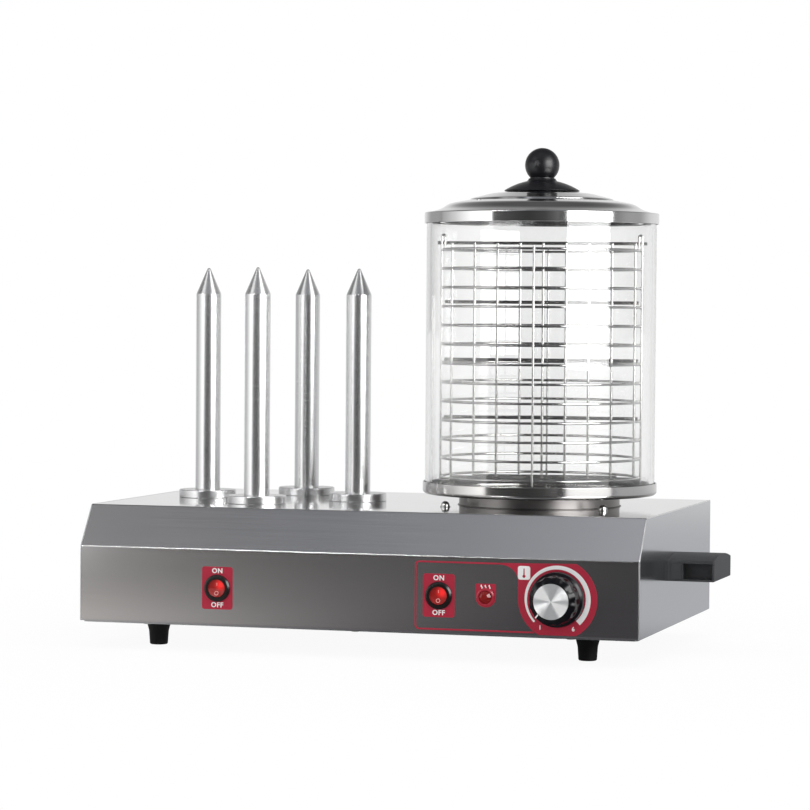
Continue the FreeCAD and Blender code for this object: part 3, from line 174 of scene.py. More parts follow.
class FinishSettings(bpy.types.PropertyGroup):
    """Colours of the materials."""
    sheet: tint("Sheet steel", "Brushed steel of the housing", (0.60, 0.598, 0.595))
    ends: tint("End panels", "Brushed steel of the end panels", (0.57, 0.575, 0.585))
    pan: tint("Pan", "Spun steel of the water pan", (0.58, 0.57, 0.56))
    # The collar's colour is set far darker than the pan's steel: painted shade for the shade under
    # the pan.
    collar: tint("Collar", "Duller steel of the collar under the pan", (0.22, 0.21, 0.205))
    polished: tint("Polished steel", "Steel of the lid and the basket", (0.66, 0.655, 0.645))
    # On the end panels' edge strips this lighter colour is painted highlight.
    aluminium: tint("Aluminium", "Turned spikes and burnished edges", (0.76, 0.76, 0.765))
    label: tint("Label", "Red of the printed labels", (0.43, 0.017, 0.045))
    print: tint("Print", "White of the printed marks", (0.88, 0.88, 0.88))
    glow: tint("Glow", "Red of the lit rockers and the lamp", (0.50, 0.012, 0.010))
    moulding: tint("Moulding", "Grey-black of the handles", (0.036, 0.038, 0.041))
    knob: tint("Knob", "Black of the thermostat knob", (0.004, 0.004, 0.006))


class WireSettings(bpy.types.PropertyGroup):
    """Sizes of the basket's wires; heights are above the pan's floor."""
    turned: turn("Turn", "Turn of the basket about its axis", 9.7)
    ring_radius: length("Ring radius", "Radius of the rings' centre line", 0.086)
    ring_wire: length("Ring wire", "Diameter of the rings' wire", 0.0022)
    ring_count: number("Rings", "How many rings", 13)
    ring_lowest: length("Lowest ring", "Height of the lowest ring", 0.014)
    ring_pitch: length("Ring pitch", "From one ring to the next", 0.01645)
    post_wire: length("Post wire", "Diameter of the posts' wire", 0.002)
    hook_rise: length("Hook rise", "Height of the hooks above the top ring", 0.0108)
    hook_reach: length("Hook reach", "Width of the hooks", 0.003)
    grid_wire: length("Divider wire", "Diameter of the divider's uprights", 0.0024)
    grid_pitch: length("Divider pitch", "From one upright to the next", 0.020)
    grid_offset: length("Divider offset", "Middle upright beside the basket's axis", 0.0017)
    grid_count: number("Uprights", "How many uprights", 9)
    bar_wire: length("Bar wire", "Diameter of the divider's cross bars", 0.003)
    bar_count: number("Bars", "How many cross bars", 3)
    rail_reach: length("Rail reach", "Half the length of the top rail", 0.092)
    bar_lowest: length("Lowest bar", "Height of the lowest cross bar", 0.0653)
    bar_pitch: length("Bar pitch", "From one cross bar to the next", 0.0503)
    floor_count: number("Floor wires", "How many floor wires", 5)
    floor_pitch: length("Floor pitch", "From one floor wire to the next", 0.028)


class LabelSettings(bpy.types.PropertyGroup):
    """Places of the printed labels on the lower front, in x and z."""
    thickness: length("Thickness", "Thickness of a label", 0.00015)
    plate_width: length("Plate width", "Width of a switch label", 0.0274)
    plate_low: length("Plate foot", "Lower edge of a switch label", 0.0366)
    plate_high: length("Plate top", "Upper edge of a switch label", 0.0727)
    plate_corner: length("Plate corner", "Corner radius of a switch label", 0.0022)
    line: length("Frame line", "Width of the red frame line", 0.0013)
    frame_left: length("Frame left", "Left edge of the red frame", 0.0540)
    frame_low: length("Frame foot", "Lower edge of the red frame", 0.0260)
    frame_high: length("Frame top", "Upper edge of the red frame", 0.0832)
    dial_radius: length("Dial radius", "Radius of the red dial", 0.0335)
    dial_half: length("Dial half height", "Half the height of the clipped dial", 0.0297)


SETTINGS = {
    "warmer_studio": StudioSettings,
    "warmer_finish": FinishSettings,
    "warmer_wire": WireSettings,
    "warmer_label": LabelSettings,
}


def settings(name):
    """A settings group of the scene."""
    return getattr(bpy.context.scene, "warmer_" + name)


# ---------------------------------------------------------------- node graphs
class Wire:
    """An output socket; arithmetic on it adds Math nodes to its graph."""

    def __init__(self, graph, socket):
        self.graph = graph
        self.socket = socket

    def __add__(self, other):
        return self.graph.maths("ADD", self, other)

    def __radd__(self, other):
        return self.graph.maths("ADD", other, self)

    def __sub__(self, other):
        return self.graph.maths("SUBTRACT", self, other)

    def __rsub__(self, other):
        return self.graph.maths("SUBTRACT", other, self)

    def __mul__(self, other):
        return self.graph.maths("MULTIPLY", self, other)

    def __rmul__(self, other):
        return self.graph.maths("MULTIPLY", other, self)


class Graph:
    """A node tree; every node in it comes from the method node."""

    def __init__(self, tree):
        self.tree = tree

    def node(self, kind, setup=None, inputs=None, output=0):
        """Add a node, set it up, then feed its inputs with values or wires."""
        made = self.tree.nodes.new(kind)
        for key, value in (setup or {}).items():
            if key == "stops":
                self.fill_ramp(made.color_ramp, value)
            else:
                setattr(made, key, value)
        for key, value in (inputs or {}).items():
            if isinstance(value, Wire):
                self.tree.links.new(value.socket, made.inputs[key])
            else:
                made.inputs[key].default_value = value
        return Wire(self, made.outputs[output]) if len(made.outputs) else made

    @staticmethod
    def fill_ramp(ramp, stops):
        """Set a colour ramp's stops from pairs of position and grey level or colour."""
        while len(ramp.elements) < len(stops):
            ramp.elements.new(1.0)
        for element, (position, level) in zip(ramp.elements, stops):
            element.position = position
            element.color = (level, level, level, 1) if isinstance(level, float) else (*level, 1)

    def outputs(self, kind, names, inputs=None):
        """Several outputs of one new node."""
        made = self.node(kind, None, inputs).socket.node
        return [Wire(self, made.outputs[name]) for name in names]

    def maths(self, operation, *values):
        """One Math node."""
        return self.node("ShaderNodeMath", {"operation": operation}, dict(enumerate(values)))

    def vector(self, operation, *values, output=0):
        """One Vector Math node."""
        return self.node("ShaderNodeVectorMath", {"operation": operation}, dict(enumerate(values)),
                         output)

    def scaled(self, vector, factor):
        """A vector or colour times a number."""
        return self.node("ShaderNodeVectorMath", {"operation": "SCALE"}, {0: vector, "Scale": factor})

    def size_of(self, vector):
        """Length of a vector."""
        return self.vector("LENGTH", vector, output="Value")

    def axis(self, vector, name):
        """One coordinate of a vector."""
        return self.outputs("ShaderNodeSeparateXYZ", (name,), {0: vector})[0]

    def coordinates(self, scale=(1, 1, 1), centre=(0, 0, 0)):
        """Object coordinates about a centre, scaled."""
        here = self.node("ShaderNodeTexCoord", output="Object")
        return self.vector("MULTIPLY", self.vector("SUBTRACT", here, centre), scale)

    def noise(self, scale, detail=2.0, rough=0.5):
        """Noise from 0 to 1 with a scale for each axis, in cycles per metre."""
        return self.node("ShaderNodeTexNoise", None, {
            "Vector": self.coordinates(scale), "Scale": 1.0, "Detail": detail, "Roughness": rough})

    def blend(self, factor, first, second):
        """Mix two colours."""
        return self.node("ShaderNodeMix", {"data_type": "RGBA"}, {0: factor, 6: first, 7: second}, 2)

    def swept(self, value, low, high, start=0.0, stop=1.0):
        """A soft step of a value from one level to another."""
        return self.node("ShaderNodeMapRange", {"interpolation_type": "SMOOTHSTEP"},
                         {0: value, 1: low, 2: high, 3: start, 4: stop})

    def levels(self, value, marks):
        """A grey or colour that runs through marks of value and level."""
        low, high = marks[0][0], marks[-1][0]
        reach = self.node("ShaderNodeMapRange", None, {0: value, 1: low, 2: high, 3: 0.0, 4: 1.0})
        stops = [((at - low) / (high - low), level) for at, level in marks]
        return self.node("ShaderNodeValToRGB", {"stops": stops}, {0: reach}, output="Color")

    def bump(self, height, distance):
        """A bumped normal."""
        return self.node("ShaderNodeBump", None,
                         {"Height": height, "Distance": distance, "Strength": 1.0})

    def glow(self, colour, strength=1.0):
        """An Emission shader."""
        return self.node("ShaderNodeEmission", None, {"Color": colour, "Strength": strength})

    def end(self, shader):
        """Lead a shader to the material's output."""
        self.node("ShaderNodeOutputMaterial", None, {"Surface": shader})

    def surface(self, inputs):
        """End with a Principled shader."""
        self.end(self.node("ShaderNodeBsdfPrincipled", None, inputs))


def rgba(colour, level=1.0):
    """A colour with its alpha, made lighter or darker."""
    return (*(min(c * level, 1.0) for c in colour), 1.0)


def made_once(name, build):
    """A material by name, its nodes built the first time."""
    made = bpy.data.materials.get(name)
    if made is None:
        made = bpy.data.materials.new(name)
        made.use_nodes = True
        made.node_tree.nodes.clear()
        build(Graph(made.node_tree))
    return made


# ---------------------------------------------------------------- finishes
# Grain in cycles per metre along each axis: low where the streaks are long.
ALONG_X = (9, 1500, 1500)
ALONG_Y = (1500, 9, 1500)
AROUND_Z = (10, 10, 3000)
# How much smoother a sheet is above the height polished_from.
POLISH = 0.13

METALS = {
    "brushed_sheet": dict(colour="sheet", grain=ALONG_X, rough=0.21, spread=0.08, turned=0.35,
                          patch=0.05, relief=2e-6, fleck=0.06, polished_from=TOP_Z - 0.0004),
    "brushed_end": dict(colour="ends", grain=ALONG_Y, rough=0.17, spread=0.06, turned=0.3,
                        patch=0.04, relief=1.5e-6, fleck=0.04),
    # Lighter than the sheet: painted highlight on the rounded edge strips of the end panels.
    "edge_steel": dict(colour="aluminium", grain=ALONG_X, rough=0.3, spread=0.04),
    "collar_steel": dict(colour="collar", grain=AROUND_Z, rough=0.33, spread=0.06, turned=0.4,
                         patch=0.04, relief=1e-6, fleck=0.06),
    "pan_steel": dict(colour="pan", grain=AROUND_Z, rough=0.14, spread=0.05, turned=0.35,
                      patch=0.03, relief=1e-6, fleck=0.05),
    "polished_steel": dict(colour="polished", grain=AROUND_Z, rough=0.12, spread=0.04, turned=0.3,
                           patch=0.03, relief=4e-7, fleck=0.03),
    "turned_aluminium": dict(colour="aluminium", grain=AROUND_Z, rough=0.26, spread=0.06,
                             turned=0.5, patch=0.03, relief=1e-6, fleck=0.04),
    "wire_steel": dict(colour="polished", grain=(200,) * 3, rough=0.16, spread=0.08, patch=0.04,
                       relief=2e-6),
    "plated_steel": dict(colour=(0.62, 0.62, 0.61), grain=(300,) * 3, rough=0.18, spread=0.1,
                         patch=0.04, relief=3e-6),
    "zinc_sheet": dict(colour=(0.50, 0.51, 0.53), grain=(60,) * 3, rough=0.42, spread=0.14,
                       patch=0.1),
    "heated_sheath": dict(colour=(0.30, 0.27, 0.25), grain=(120,) * 3, rough=0.45, spread=0.14,
                          patch=0.1, relief=8e-6),
    "copper": dict(colour=(0.76, 0.42, 0.28), grain=(150,) * 3, rough=0.32, spread=0.12,
                   patch=0.08, relief=4e-6),
}

PLASTICS = {
    "handle_plastic": dict(colour="moulding", rough=0.5, grain=1400, relief=3e-5, gloss=0.25),
    "satin_black": dict(colour=(0.009, 0.009, 0.012), rough=0.34, grain=1800, relief=1e-5),
    "gloss_black": dict(colour="knob", rough=0.19, grain=900, relief=1e-6, gloss=0.24),
    "bezel_black": dict(colour=(0.012, 0.007, 0.007), rough=0.26, grain=1200, relief=5e-6,
                        coat=0.1),
    "foot_rubber": dict(colour=(0.005,) * 3, rough=0.6, grain=1500, relief=4e-5, gloss=0.25),
    "pale_plastic": dict(colour=(0.72, 0.69, 0.62), rough=0.5, grain=900, relief=2e-5),
    "label_red": dict(colour="label", rough=0.36, grain=2200, relief=2e-6, gloss=0.25, coat=0.1),
    "label_white": dict(colour="print", rough=0.4, grain=2200, relief=2e-6, coat=0.1),
    "lens_mark": dict(colour=(0.86, 0.40, 0.38), rough=0.35, grain=0.02, relief=0.0),
    "lamp_rim": dict(colour=(0.40, 0.025, 0.045), rough=0.25, grain=0.02, relief=0.0, gloss=0.3,
                     coat=0.2),
}


def finish_of(name):
    """The metal or plastic of that name; its colour is a setting's name or a colour."""
    maker, values = (metal, METALS[name]) if name in METALS else (plastic, PLASTICS[name])
    colour = values["colour"]
    if isinstance(colour, str):
        colour = getattr(settings("finish"), colour)
    return maker(name, **{**values, "colour": colour})


def metal(name, colour, grain, rough, spread, turned=0.0, patch=0.06, relief=6e-6, fleck=0.10,
          polished_from=None):
    """Metal with a fine grain: streaks in its colour, roughness and relief, and faint patches."""
    def build(graph):
        streaks = graph.noise(grain, 3.0, 0.6)
        cloud = graph.noise((9, 9, 9))
        level = rough - spread / 2 + streaks * spread + cloud * patch - patch / 2
        if polished_from is not None:
            height = graph.axis(graph.coordinates(), "Z")
            level = level - POLISH * graph.maths("GREATER_THAN", height, polished_from)
        graph.surface({
            "Base Color": graph.blend(streaks, rgba(colour, 1 - fleck), rgba(colour, 1 + fleck)),
            "Metallic": 1.0,
            "Roughness": level,
            "Anisotropic": turned,
            "Normal": graph.bump(streaks, relief),
        })
    return made_once(name, build)


def plastic(name, colour, rough, grain, relief, gloss=0.4, coat=0.0):
    """Moulded plastic, rubber or print with a fine grain."""
    def build(graph):
        specks = graph.noise((grain, grain, grain), 3.0, 0.6)
        cloud = graph.noise((18, 18, 18))
        graph.surface({
            "Base Color": graph.blend(cloud, rgba(colour, 0.9), rgba(colour, 1.12)),
            "Roughness": rough - 0.04 + 0.08 * specks,
            "Specular IOR Level": gloss,
            "Coat Weight": coat,
            "Coat Roughness": 0.08,
            "Normal": graph.bump(specks, relief),
        })
    return made_once(name, build)


def clear_glass():
    """Clear glass, faintly uneven as drawn tube is."""
    def build(graph):
        graph.surface({
            "Base Color": (0.966, 0.968, 0.966, 1.0),
            "Roughness": 0.0,
            "IOR": 1.47,
            "Transmission Weight": 1.0,
            "Normal": graph.bump(graph.noise((14, 14, 5), 1.0, 0.4), 3e-5),
        })
    return made_once("clear_glass", build)


def lit_red(name, at, radius, strength, deep=1.0):
    """Lit red plastic: its glow is brightest over its lamp and deeper away from it, and its base
    colour is painted lighter there too.
    """
    hot = (1.0, 0.030, 0.030, 1.0)

    def build(graph):
        glow = [c * deep for c in settings("finish").glow]
        far = graph.size_of(graph.coordinates((1 / radius,) * 3, at))
        core = graph.swept(far, 0.0, 1.0, 1.0, 0.0)
        cloud = graph.noise((700, 700, 700))
        graph.surface({
            # Base colour lighter near the core: painted glow.
            "Base Color": graph.blend(core, rgba(glow, 0.55), rgba(glow)),
            "Roughness": 0.22,
            "Specular IOR Level": 0.4,
            "Coat Weight": 0.3,
            "Coat Roughness": 0.06,
            "Emission Color": graph.blend(core * (0.8 + cloud * 0.2), rgba(glow, 0.12), hot),
            "Emission Strength": strength,
            "Normal": graph.bump(cloud, 5e-6),
        })
    return made_once(name, build)


def spun_disc(at):
    """Metal disc with concentric turned grooves in its normal; four sheens that fan out from its
    middle, two weaker, are painted highlight in its base colour.
    """
    grooves_per_metre = 6700.0
    groove_slope = 2.3
    # Colours of the disc where its painted sheen is dim and where it is bright.
    sheen_dim, bright = (0.50, 0.51, 0.52, 1), (0.98, 0.98, 0.98, 1)

    def build(graph):
        flat = graph.coordinates((1, 0, 1), at)
        outward = graph.vector("NORMALIZE", flat)
        groove = graph.maths("FRACT", graph.size_of(flat) * grooves_per_metre)
        spoke = graph.node("ShaderNodeVectorTransform",
                           {"vector_type": "VECTOR", "convert_from": "OBJECT", "convert_to": "WORLD"},
                           {0: outward})
        upright = graph.node("ShaderNodeNewGeometry", output="Normal")
        pushed = graph.scaled(spoke, (groove - 0.5) * groove_slope)
        across = graph.axis(outward, "X")
        upward = graph.axis(outward, "Z")
        # Painted highlight: bright sectors to the left and right, dim above and below, two of them
        # weaker, all in the base colour.
        sheen_lobes = (graph.swept(graph.maths("ABSOLUTE", across), 0.36, 0.62)
                 * graph.swept(graph.maths("ABSOLUTE", upward), 0.02, 0.32))
        sheen_falloff = graph.swept(across * upward, -0.1, 0.1, 1.0, 0.55)
        painted_sheen = sheen_lobes * sheen_falloff * (0.92 + graph.noise((60, 60, 60)) * 0.08)
        graph.surface({
            "Base Color": graph.blend(painted_sheen, sheen_dim, bright),
            "Metallic": 0.25,
            "Roughness": 0.3,
            "Normal": graph.vector("NORMALIZE", graph.vector("ADD", upright, pushed)),
        })
    return made_once("spun_disc", build)


# ---------------------------------------------------------------- pieces
def dress(finish, *nodes):
    """Give construction nodes their finish."""
    for node in nodes:
        slots = NODES[node].data.materials
        slots.clear()
        slots.append(finish_of(finish))


def body_of(node):
    """The body that a node rides on."""
    return NODES[node]["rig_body"]


def linked(name, data):
    """A new object in the scene."""
    made = bpy.data.objects.new(name, data)
    bpy.context.scene.collection.objects.link(made)
    return made


def plain_mesh(holder):
    """The mesh that an object's modifiers, curve or text make; the object goes."""
    graph = bpy.context.evaluated_depsgraph_get()
    graph.update()
    mesh = bpy.data.meshes.new_from_object(holder.evaluated_get(graph))
    bpy.data.objects.remove(holder)
    return mesh


def mesh_from(bm, name, sharp=SHARP):
    """A smooth-shaded mesh whose sharper edges stay crisp and whose flats stay flat."""
    mesh = bpy.data.meshes.new(name)
    bm.to_mesh(mesh)
    bm.free()
    mesh.shade_smooth()
    mesh.set_sharp_from_angle(angle=sharp)
    holder = linked("holder", mesh)
    holder.modifiers.new("normals", "WEIGHTED_NORMAL").keep_sharp = True
    return plain_mesh(holder)


def add_piece(name, mesh, finish, carrier, stands_for=()):
    """Link a finished mesh; it rides on its carrier's body and may stand for nodes."""
    mesh.materials.clear()
    mesh.materials.append(finish_of(finish) if isinstance(finish, str) else finish)
    made = linked(name, mesh)
    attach(made, body_of(carrier))
    if stands_for:
        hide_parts(*stands_for)
    return made


def arc(centre, radius, start, end, steps):
    """Points of an arc in a plane; angles in degrees."""
    turns = [math.radians(start + (end - start) * i / steps) for i in range(steps + 1)]
    return [(centre[0] + radius * math.cos(a), centre[1] + radius * math.sin(a)) for a in turns]


def rounded_corner(before, corner, after, radius, steps):
    """Points of the arc that rounds a corner between two neighbours."""
    back = (before - corner).normalized()
    ahead = (after - corner).normalized()
    half = back.angle(ahead) / 2
    reach = radius / math.tan(half)
    centre = corner + (back + ahead).normalized() * (radius / math.sin(half))
    start = corner + back * reach - centre
    end = corner + ahead * reach - centre
    return [centre + start.slerp(end, k / steps).normalized() * radius for k in range(steps + 1)]


def softened(points, steps=5):
    """A closed outline whose corners with a third number are rounded to that radius."""
    outline = []
    spots = [Vector(corner[:2]) for corner in points]
    for i, corner in enumerate(points):
        if len(corner) > 2:
            after = spots[(i + 1) % len(spots)]
            rounded = rounded_corner(spots[i - 1], spots[i], after, corner[2], steps)
            outline += [tuple(p) for p in rounded]
        else:
            outline.append(tuple(spots[i]))
    return outline


def lathe(outline, at, axes, steps, shape=None):
    """Turn a closed outline of radius and height about an axis; shape may vary it by angle."""
    bm = bmesh.new()
    across, up, along = axes
    rings = []
    for radius, height in outline:
        if radius < TINY:
            rings.append([bm.verts.new(at + along * height)])
            continue
        ring = []
        for i in range(steps):
            angle = 2 * math.pi * i / steps
            r = shape(radius, height, angle) if shape else radius
            ring.append(bm.verts.new(at + across * (r * math.cos(angle))
                                     + up * (r * math.sin(angle)) + along * height))
        rings.append(ring)
    for low, high in zip(rings, rings[1:] + rings[:1]):
        if len(low) == 1 and len(high) == 1:
            continue
        for i in range(steps):
            j = (i + 1) % steps
            corners = [low[i % len(low)], low[j % len(low)], high[j % len(high)], high[i % len(high)]]
            bm.faces.new(list(dict.fromkeys(corners)))
    bmesh.ops.recalc_face_normals(bm, faces=bm.faces)
    return bm


def turned_piece(name, node, outline, at, finish, steps, axes=UPRIGHT, shape=None, sharp=SHARP):
    """A lathe-turned piece that stands for a node."""
    mesh = mesh_from(lathe(outline, at, axes, steps, shape), name, sharp)
    return add_piece(name, mesh, finish, node, (node,))


def eased(bm, edges, radius, segments):
    """Round some edges of a mesh."""
    bmesh.ops.bevel(bm, geom=edges, offset=radius, segments=segments, profile=0.5, affect="EDGES",
                    clamp_overlap=True)


def refined(node, radius, finish, name=None, sharp=SHARP, segments=2):
    """A copy of a node's mesh, merged, its edges eased; it stands for the node."""
    bm = bmesh.new()
    bm.from_mesh(NODES[node].data)
    bmesh.ops.remove_doubles(bm, verts=bm.verts, dist=2e-6)
    bmesh.ops.dissolve_limit(bm, angle_limit=math.radians(0.6), verts=bm.verts, edges=bm.edges)
    if radius > 0:
        crisp = [e for e in bm.edges if len(e.link_faces) == 2 and e.calc_face_angle(0) > SHARP]
        eased(bm, crisp, radius, segments)
    title = name or node + "_eased"
    return add_piece(title, mesh_from(bm, title, sharp), finish, node, (node,))


def carved(mesh, tools):
    """A mesh with the shape of some tools cut away."""
    drill = linked("drill", mesh_from(tools, "drill"))
    body = linked("carved", mesh)
    cut = body.modifiers.new("cut", "BOOLEAN")
    cut.object = drill
    cut.operation = "DIFFERENCE"
    cut.solver = "EXACT"
    done = plain_mesh(body)
    bpy.data.objects.remove(drill)
    return done


def block(bm, low, high):
    """A box between two corners, added to a mesh; its corners come back."""
    size = [b - a for a, b in zip(low, high)]
    centre = [(a + b) / 2 for a, b in zip(low, high)]
    spread = Matrix.Translation(centre) @ Matrix.Diagonal((*size, 1))
    return bmesh.ops.create_cube(bm, size=1.0, matrix=spread)["verts"]


def joined(meshes, name):
    """Several meshes as one."""
    bm = bmesh.new()
    for mesh in meshes:
        bm.from_mesh(mesh)
    out = bpy.data.meshes.new(name)
    bm.to_mesh(out)
    bm.free()
    return out


def wire_path(points, radius, bend=0.0):
    """Mesh of a round wire through points, its corners bent to a radius."""
    points = [Vector(p) for p in points]
    route = [points[0]]
    for before, corner, after in zip(points, points[1:], points[2:]):
        route += rounded_corner(before, corner, after, bend, 6)
    route.append(points[-1])
    line = bpy.data.curves.new("wire", "CURVE")
    line.dimensions = "3D"
    line.bevel_depth = radius
    line.bevel_resolution = 3
    line.use_fill_caps = True
    spline = line.splines.new("POLY")
    spline.points.add(len(route) - 1)
    for spot, p in zip(spline.points, route):
        spot.co = (*p, 1)
    mesh = plain_mesh(linked("wire", line))
    mesh.shade_smooth()
    return mesh


# ---------------------------------------------------------------- geometry node trees
ROW_INPUTS = {"Count": "NodeSocketInt", "First": "NodeSocketVector", "Step": "NodeSocketVector",
              "Wire Radius": "NodeSocketFloat"}


def new_tree(name, sizes):
    """A Geometry Nodes tree with named inputs; sizes holds names and socket types."""
    tree = bpy.data.node_groups.new(name, "GeometryNodeTree")
    tree.interface.new_socket("Geometry", in_out="OUTPUT", socket_type="NodeSocketGeometry")
    tree.interface.new_socket("Geometry", in_out="INPUT", socket_type="NodeSocketGeometry")
    for label, kind in sizes.items():
        tree.interface.new_socket(label, in_out="INPUT", socket_type=kind)
    graph = Graph(tree)
    given = tree.nodes.new("NodeGroupInput")
    return graph, {s.name: Wire(graph, s) for s in given.outputs if s.name}


def close_tree(graph, shape, finish):
    """End a tree: real geometry, smooth, with its material."""
    real = graph.node("GeometryNodeRealizeInstances", None, {0: shape})
    smooth = graph.node("GeometryNodeSetShadeSmooth", None, {0: real})
    done = graph.node("GeometryNodeSetMaterial", None,
                      {"Geometry": smooth, "Material": finish_of(finish)})
    end = graph.tree.nodes.new("NodeGroupOutput")
    graph.tree.links.new(done.socket, end.inputs[0])
    return graph.tree


def close_row(graph, given, line, sides, capped, finish):
    """End a tree with copies of a line in a row, each swept to a round wire."""
    spots = graph.node("GeometryNodeMeshLine", {"mode": "OFFSET"},
                       {"Count": given["Count"], "Start Location": given["First"],
                        "Offset": given["Step"]})
    rows = graph.node("GeometryNodeInstanceOnPoints", None, {"Points": spots, "Instance": line})
    real = graph.node("GeometryNodeRealizeInstances", None, {0: rows})
    section = graph.node("GeometryNodeCurvePrimitiveCircle", None,
                         {"Resolution": sides, "Radius": given["Wire Radius"]})
    solid = graph.node("GeometryNodeCurveToMesh", None,
                       {"Curve": real, "Profile Curve": section, "Fill Caps": capped})
    return close_tree(graph, solid, finish)


def wire_row_tree(finish):
    """Straight wires in a row: how many, the step between them, their reach and thickness."""
    graph, given = new_tree("wire_row", {**ROW_INPUTS, "Reach": "NodeSocketVector"})
    line = graph.node("GeometryNodeCurvePrimitiveLine", None,
                      {"Start": (0.0, 0.0, 0.0), "End": given["Reach"]})
    return close_row(graph, given, line, 14, True, finish)


def ring_stack_tree(finish):
    """Wire rings one above another: how many, the step between them, their radius and thickness."""
    graph, given = new_tree("ring_stack", {**ROW_INPUTS, "Ring Radius": "NodeSocketFloat"})
    loop = graph.node("GeometryNodeCurvePrimitiveCircle", None,
                      {"Resolution": 128, "Radius": given["Ring Radius"]})
    return close_row(graph, given, loop, 12, False, finish)


def copies_tree(name, finish):
    """Copies of a pattern object on the points of the seed mesh."""
    graph, given = new_tree(name, {"Pattern": "NodeSocketObject"})
    source = graph.node("GeometryNodeObjectInfo", None, {"Object": given["Pattern"]}, "Geometry")
    rows = graph.node("GeometryNodeInstanceOnPoints", None,
                      {"Points": given["Geometry"], "Instance": source})
    return close_tree(graph, rows, finish)


def grown(tree, values, seed_mesh=None):
    """The plain mesh that a tree makes from a seed mesh and its input values."""
    seed = linked("seed", seed_mesh or bpy.data.meshes.new("seed"))
    modifier = seed.modifiers.new("grow", "NODES")
    modifier.node_group = tree
    for item in tree.interface.items_tree:
        if item.in_out == "INPUT" and item.name in values:
            modifier[item.identifier] = values[item.name]
    seed.update_tag()
    return plain_mesh(seed)


def copies(name, pattern_mesh, spots, finish):
    """One mesh with a copy of a pattern at each spot."""
    pattern = linked(name + "_pattern", pattern_mesh)
    points = bpy.data.meshes.new(name + "_spots")
    points.from_pydata([tuple(p) for p in spots], [], [])
    mesh = grown(copies_tree(name, finish), {"Pattern": pattern}, points)
    bpy.data.objects.remove(pattern)
    mesh.set_sharp_from_angle(angle=SHARP)
    return mesh


# ---------------------------------------------------------------- housing, handles, feet
def build_housing():
    """Folded sheet, end panels and base plate."""
    dress("brushed_sheet", "housing_wrap", "back_panel")
    for side in SIDES:
        refined("side_panel_" + side, 0.00025, "brushed_end")
    dress("zinc_sheet", "base_plate")
    build_bright_edges()


def build_bright_edges():
    """Rounded strips at the edges of the end panels, from the bottom over the fold and the slope to
    the back; their lighter steel paints a highlight on the edge.
    """
    radius = 0.0007
    inset = 0.00055
    bend = 0.004
    fold_rise = 0.0642
    slope_depth = 0.026
    low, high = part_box("housing_wrap")
    corners = [Vector((0, FRONT_Y, low.z)), Vector((0, FRONT_Y, low.z + fold_rise)),
               Vector((0, FRONT_Y + slope_depth, TOP_Z)), Vector((0, high.y, TOP_Z))]
    legs = [(b - a).normalized() for a, b in zip(corners, corners[1:])]
    inward = [Vector((0, leg.z, -leg.y)) for leg in legs]
    path = [corners[0] + inward[0] * inset + legs[0] * radius]
    path += [c + (a + b) * (inset / (1 + a.dot(b)))
             for c, a, b in zip(corners[1:], inward, inward[1:])]
    path.append(corners[-1] + inward[-1] * inset - legs[-1] * radius)
    for side in SIDES:
        node = "side_panel_" + side
        left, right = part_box(node)
        x = right.x - inset if side == "right" else left.x + inset
        line = wire_path([(x, p.y, p.z) for p in path], radius, bend)
        add_piece("bright_edge_" + side, line, "edge_steel", node)


def build_handles():
    """Moulded side handles; the left one is the right one mirrored."""
    for side in SIDES:
        node = "handle_" + side
        name = node + "_moulded"
        low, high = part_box(node)
        near, far = sorted((abs(low.x), abs(high.x)))
        low = Vector((near, low.y, low.z))
        high = Vector((far, high.y, high.z))
        shell = carved(mesh_from(handle_shell(low, high), name), handle_hollows(low, high))
        bm = bmesh.new()
        bm.from_mesh(shell)
        add_handle_pads(bm, low, high)
        mesh = mesh_from(bm, name)
        if side == "left":
            mesh.transform(Matrix.Diagonal((-1, 1, 1, 1)))
            mesh.flip_normals()
        add_piece(name, mesh, "handle_plastic", node, (node,))


def handle_shell(low, high):
    """Outside of a handle: its top is crowned along its length and its free edges are eased."""
    crown = 0.0026
    fall_to_ends = 0.0042
    bm = bmesh.new()
    block(bm, low, high)
    along = [e for e in bm.edges if abs(e.verts[0].co.y - e.verts[1].co.y) > 0.01]
    bmesh.ops.subdivide_edges(bm, edges=along, cuts=15)
    for v in bm.verts:
        if v.co.z > high.z - TINY:
            v.co.z += crown - fall_to_ends * (v.co.y / high.y) ** 2
    free = [e for e in bm.edges if e.calc_face_angle(0) > SHARP
            and (e.verts[0].co.x + e.verts[1].co.x) / 2 > low.x + TINY]
    eased(bm, free, 0.0008, 3)
    return bm


def handle_hollows(low, high):
    """What is cut from a handle: a pocket in each end, and room for the fingers from below."""
    roof = high.z - 0.0040
    wall = 0.0018
    pocket = 0.0112
    pocket_root = low.x + 0.0134
    room_root, room_rim, room_end = low.x + 0.0140, high.x - 0.0060, 0.0120
    bm = bmesh.new()
    for end in (low.y, high.y):
        reach = [end - math.copysign(pocket, end), end * 1.05]
        block(bm, (pocket_root, min(reach), low.z + wall), (high.x - wall, max(reach), roof))
    block(bm, (room_root, low.y + room_end, low.z - 0.001), (room_rim, high.y - room_end, roof))
    return bm


def add_handle_pads(bm, low, high):
    """Raised pads on a handle's ends, beside the housing."""
    raised = 0.0009
    inner, outer = low.x + 0.0030, low.x + 0.0118
    foot, top = low.z + 0.0016, high.z - 0.0036
    for end in (low.y, high.y):
        depth = sorted((end * 0.99, end + math.copysign(raised, end)))
        pad = block(bm, (inner, depth[0], foot), (outer, depth[1], top))
        eased(bm, list(dict.fromkeys(e for v in pad for e in v.link_edges)), 0.0004, 2)


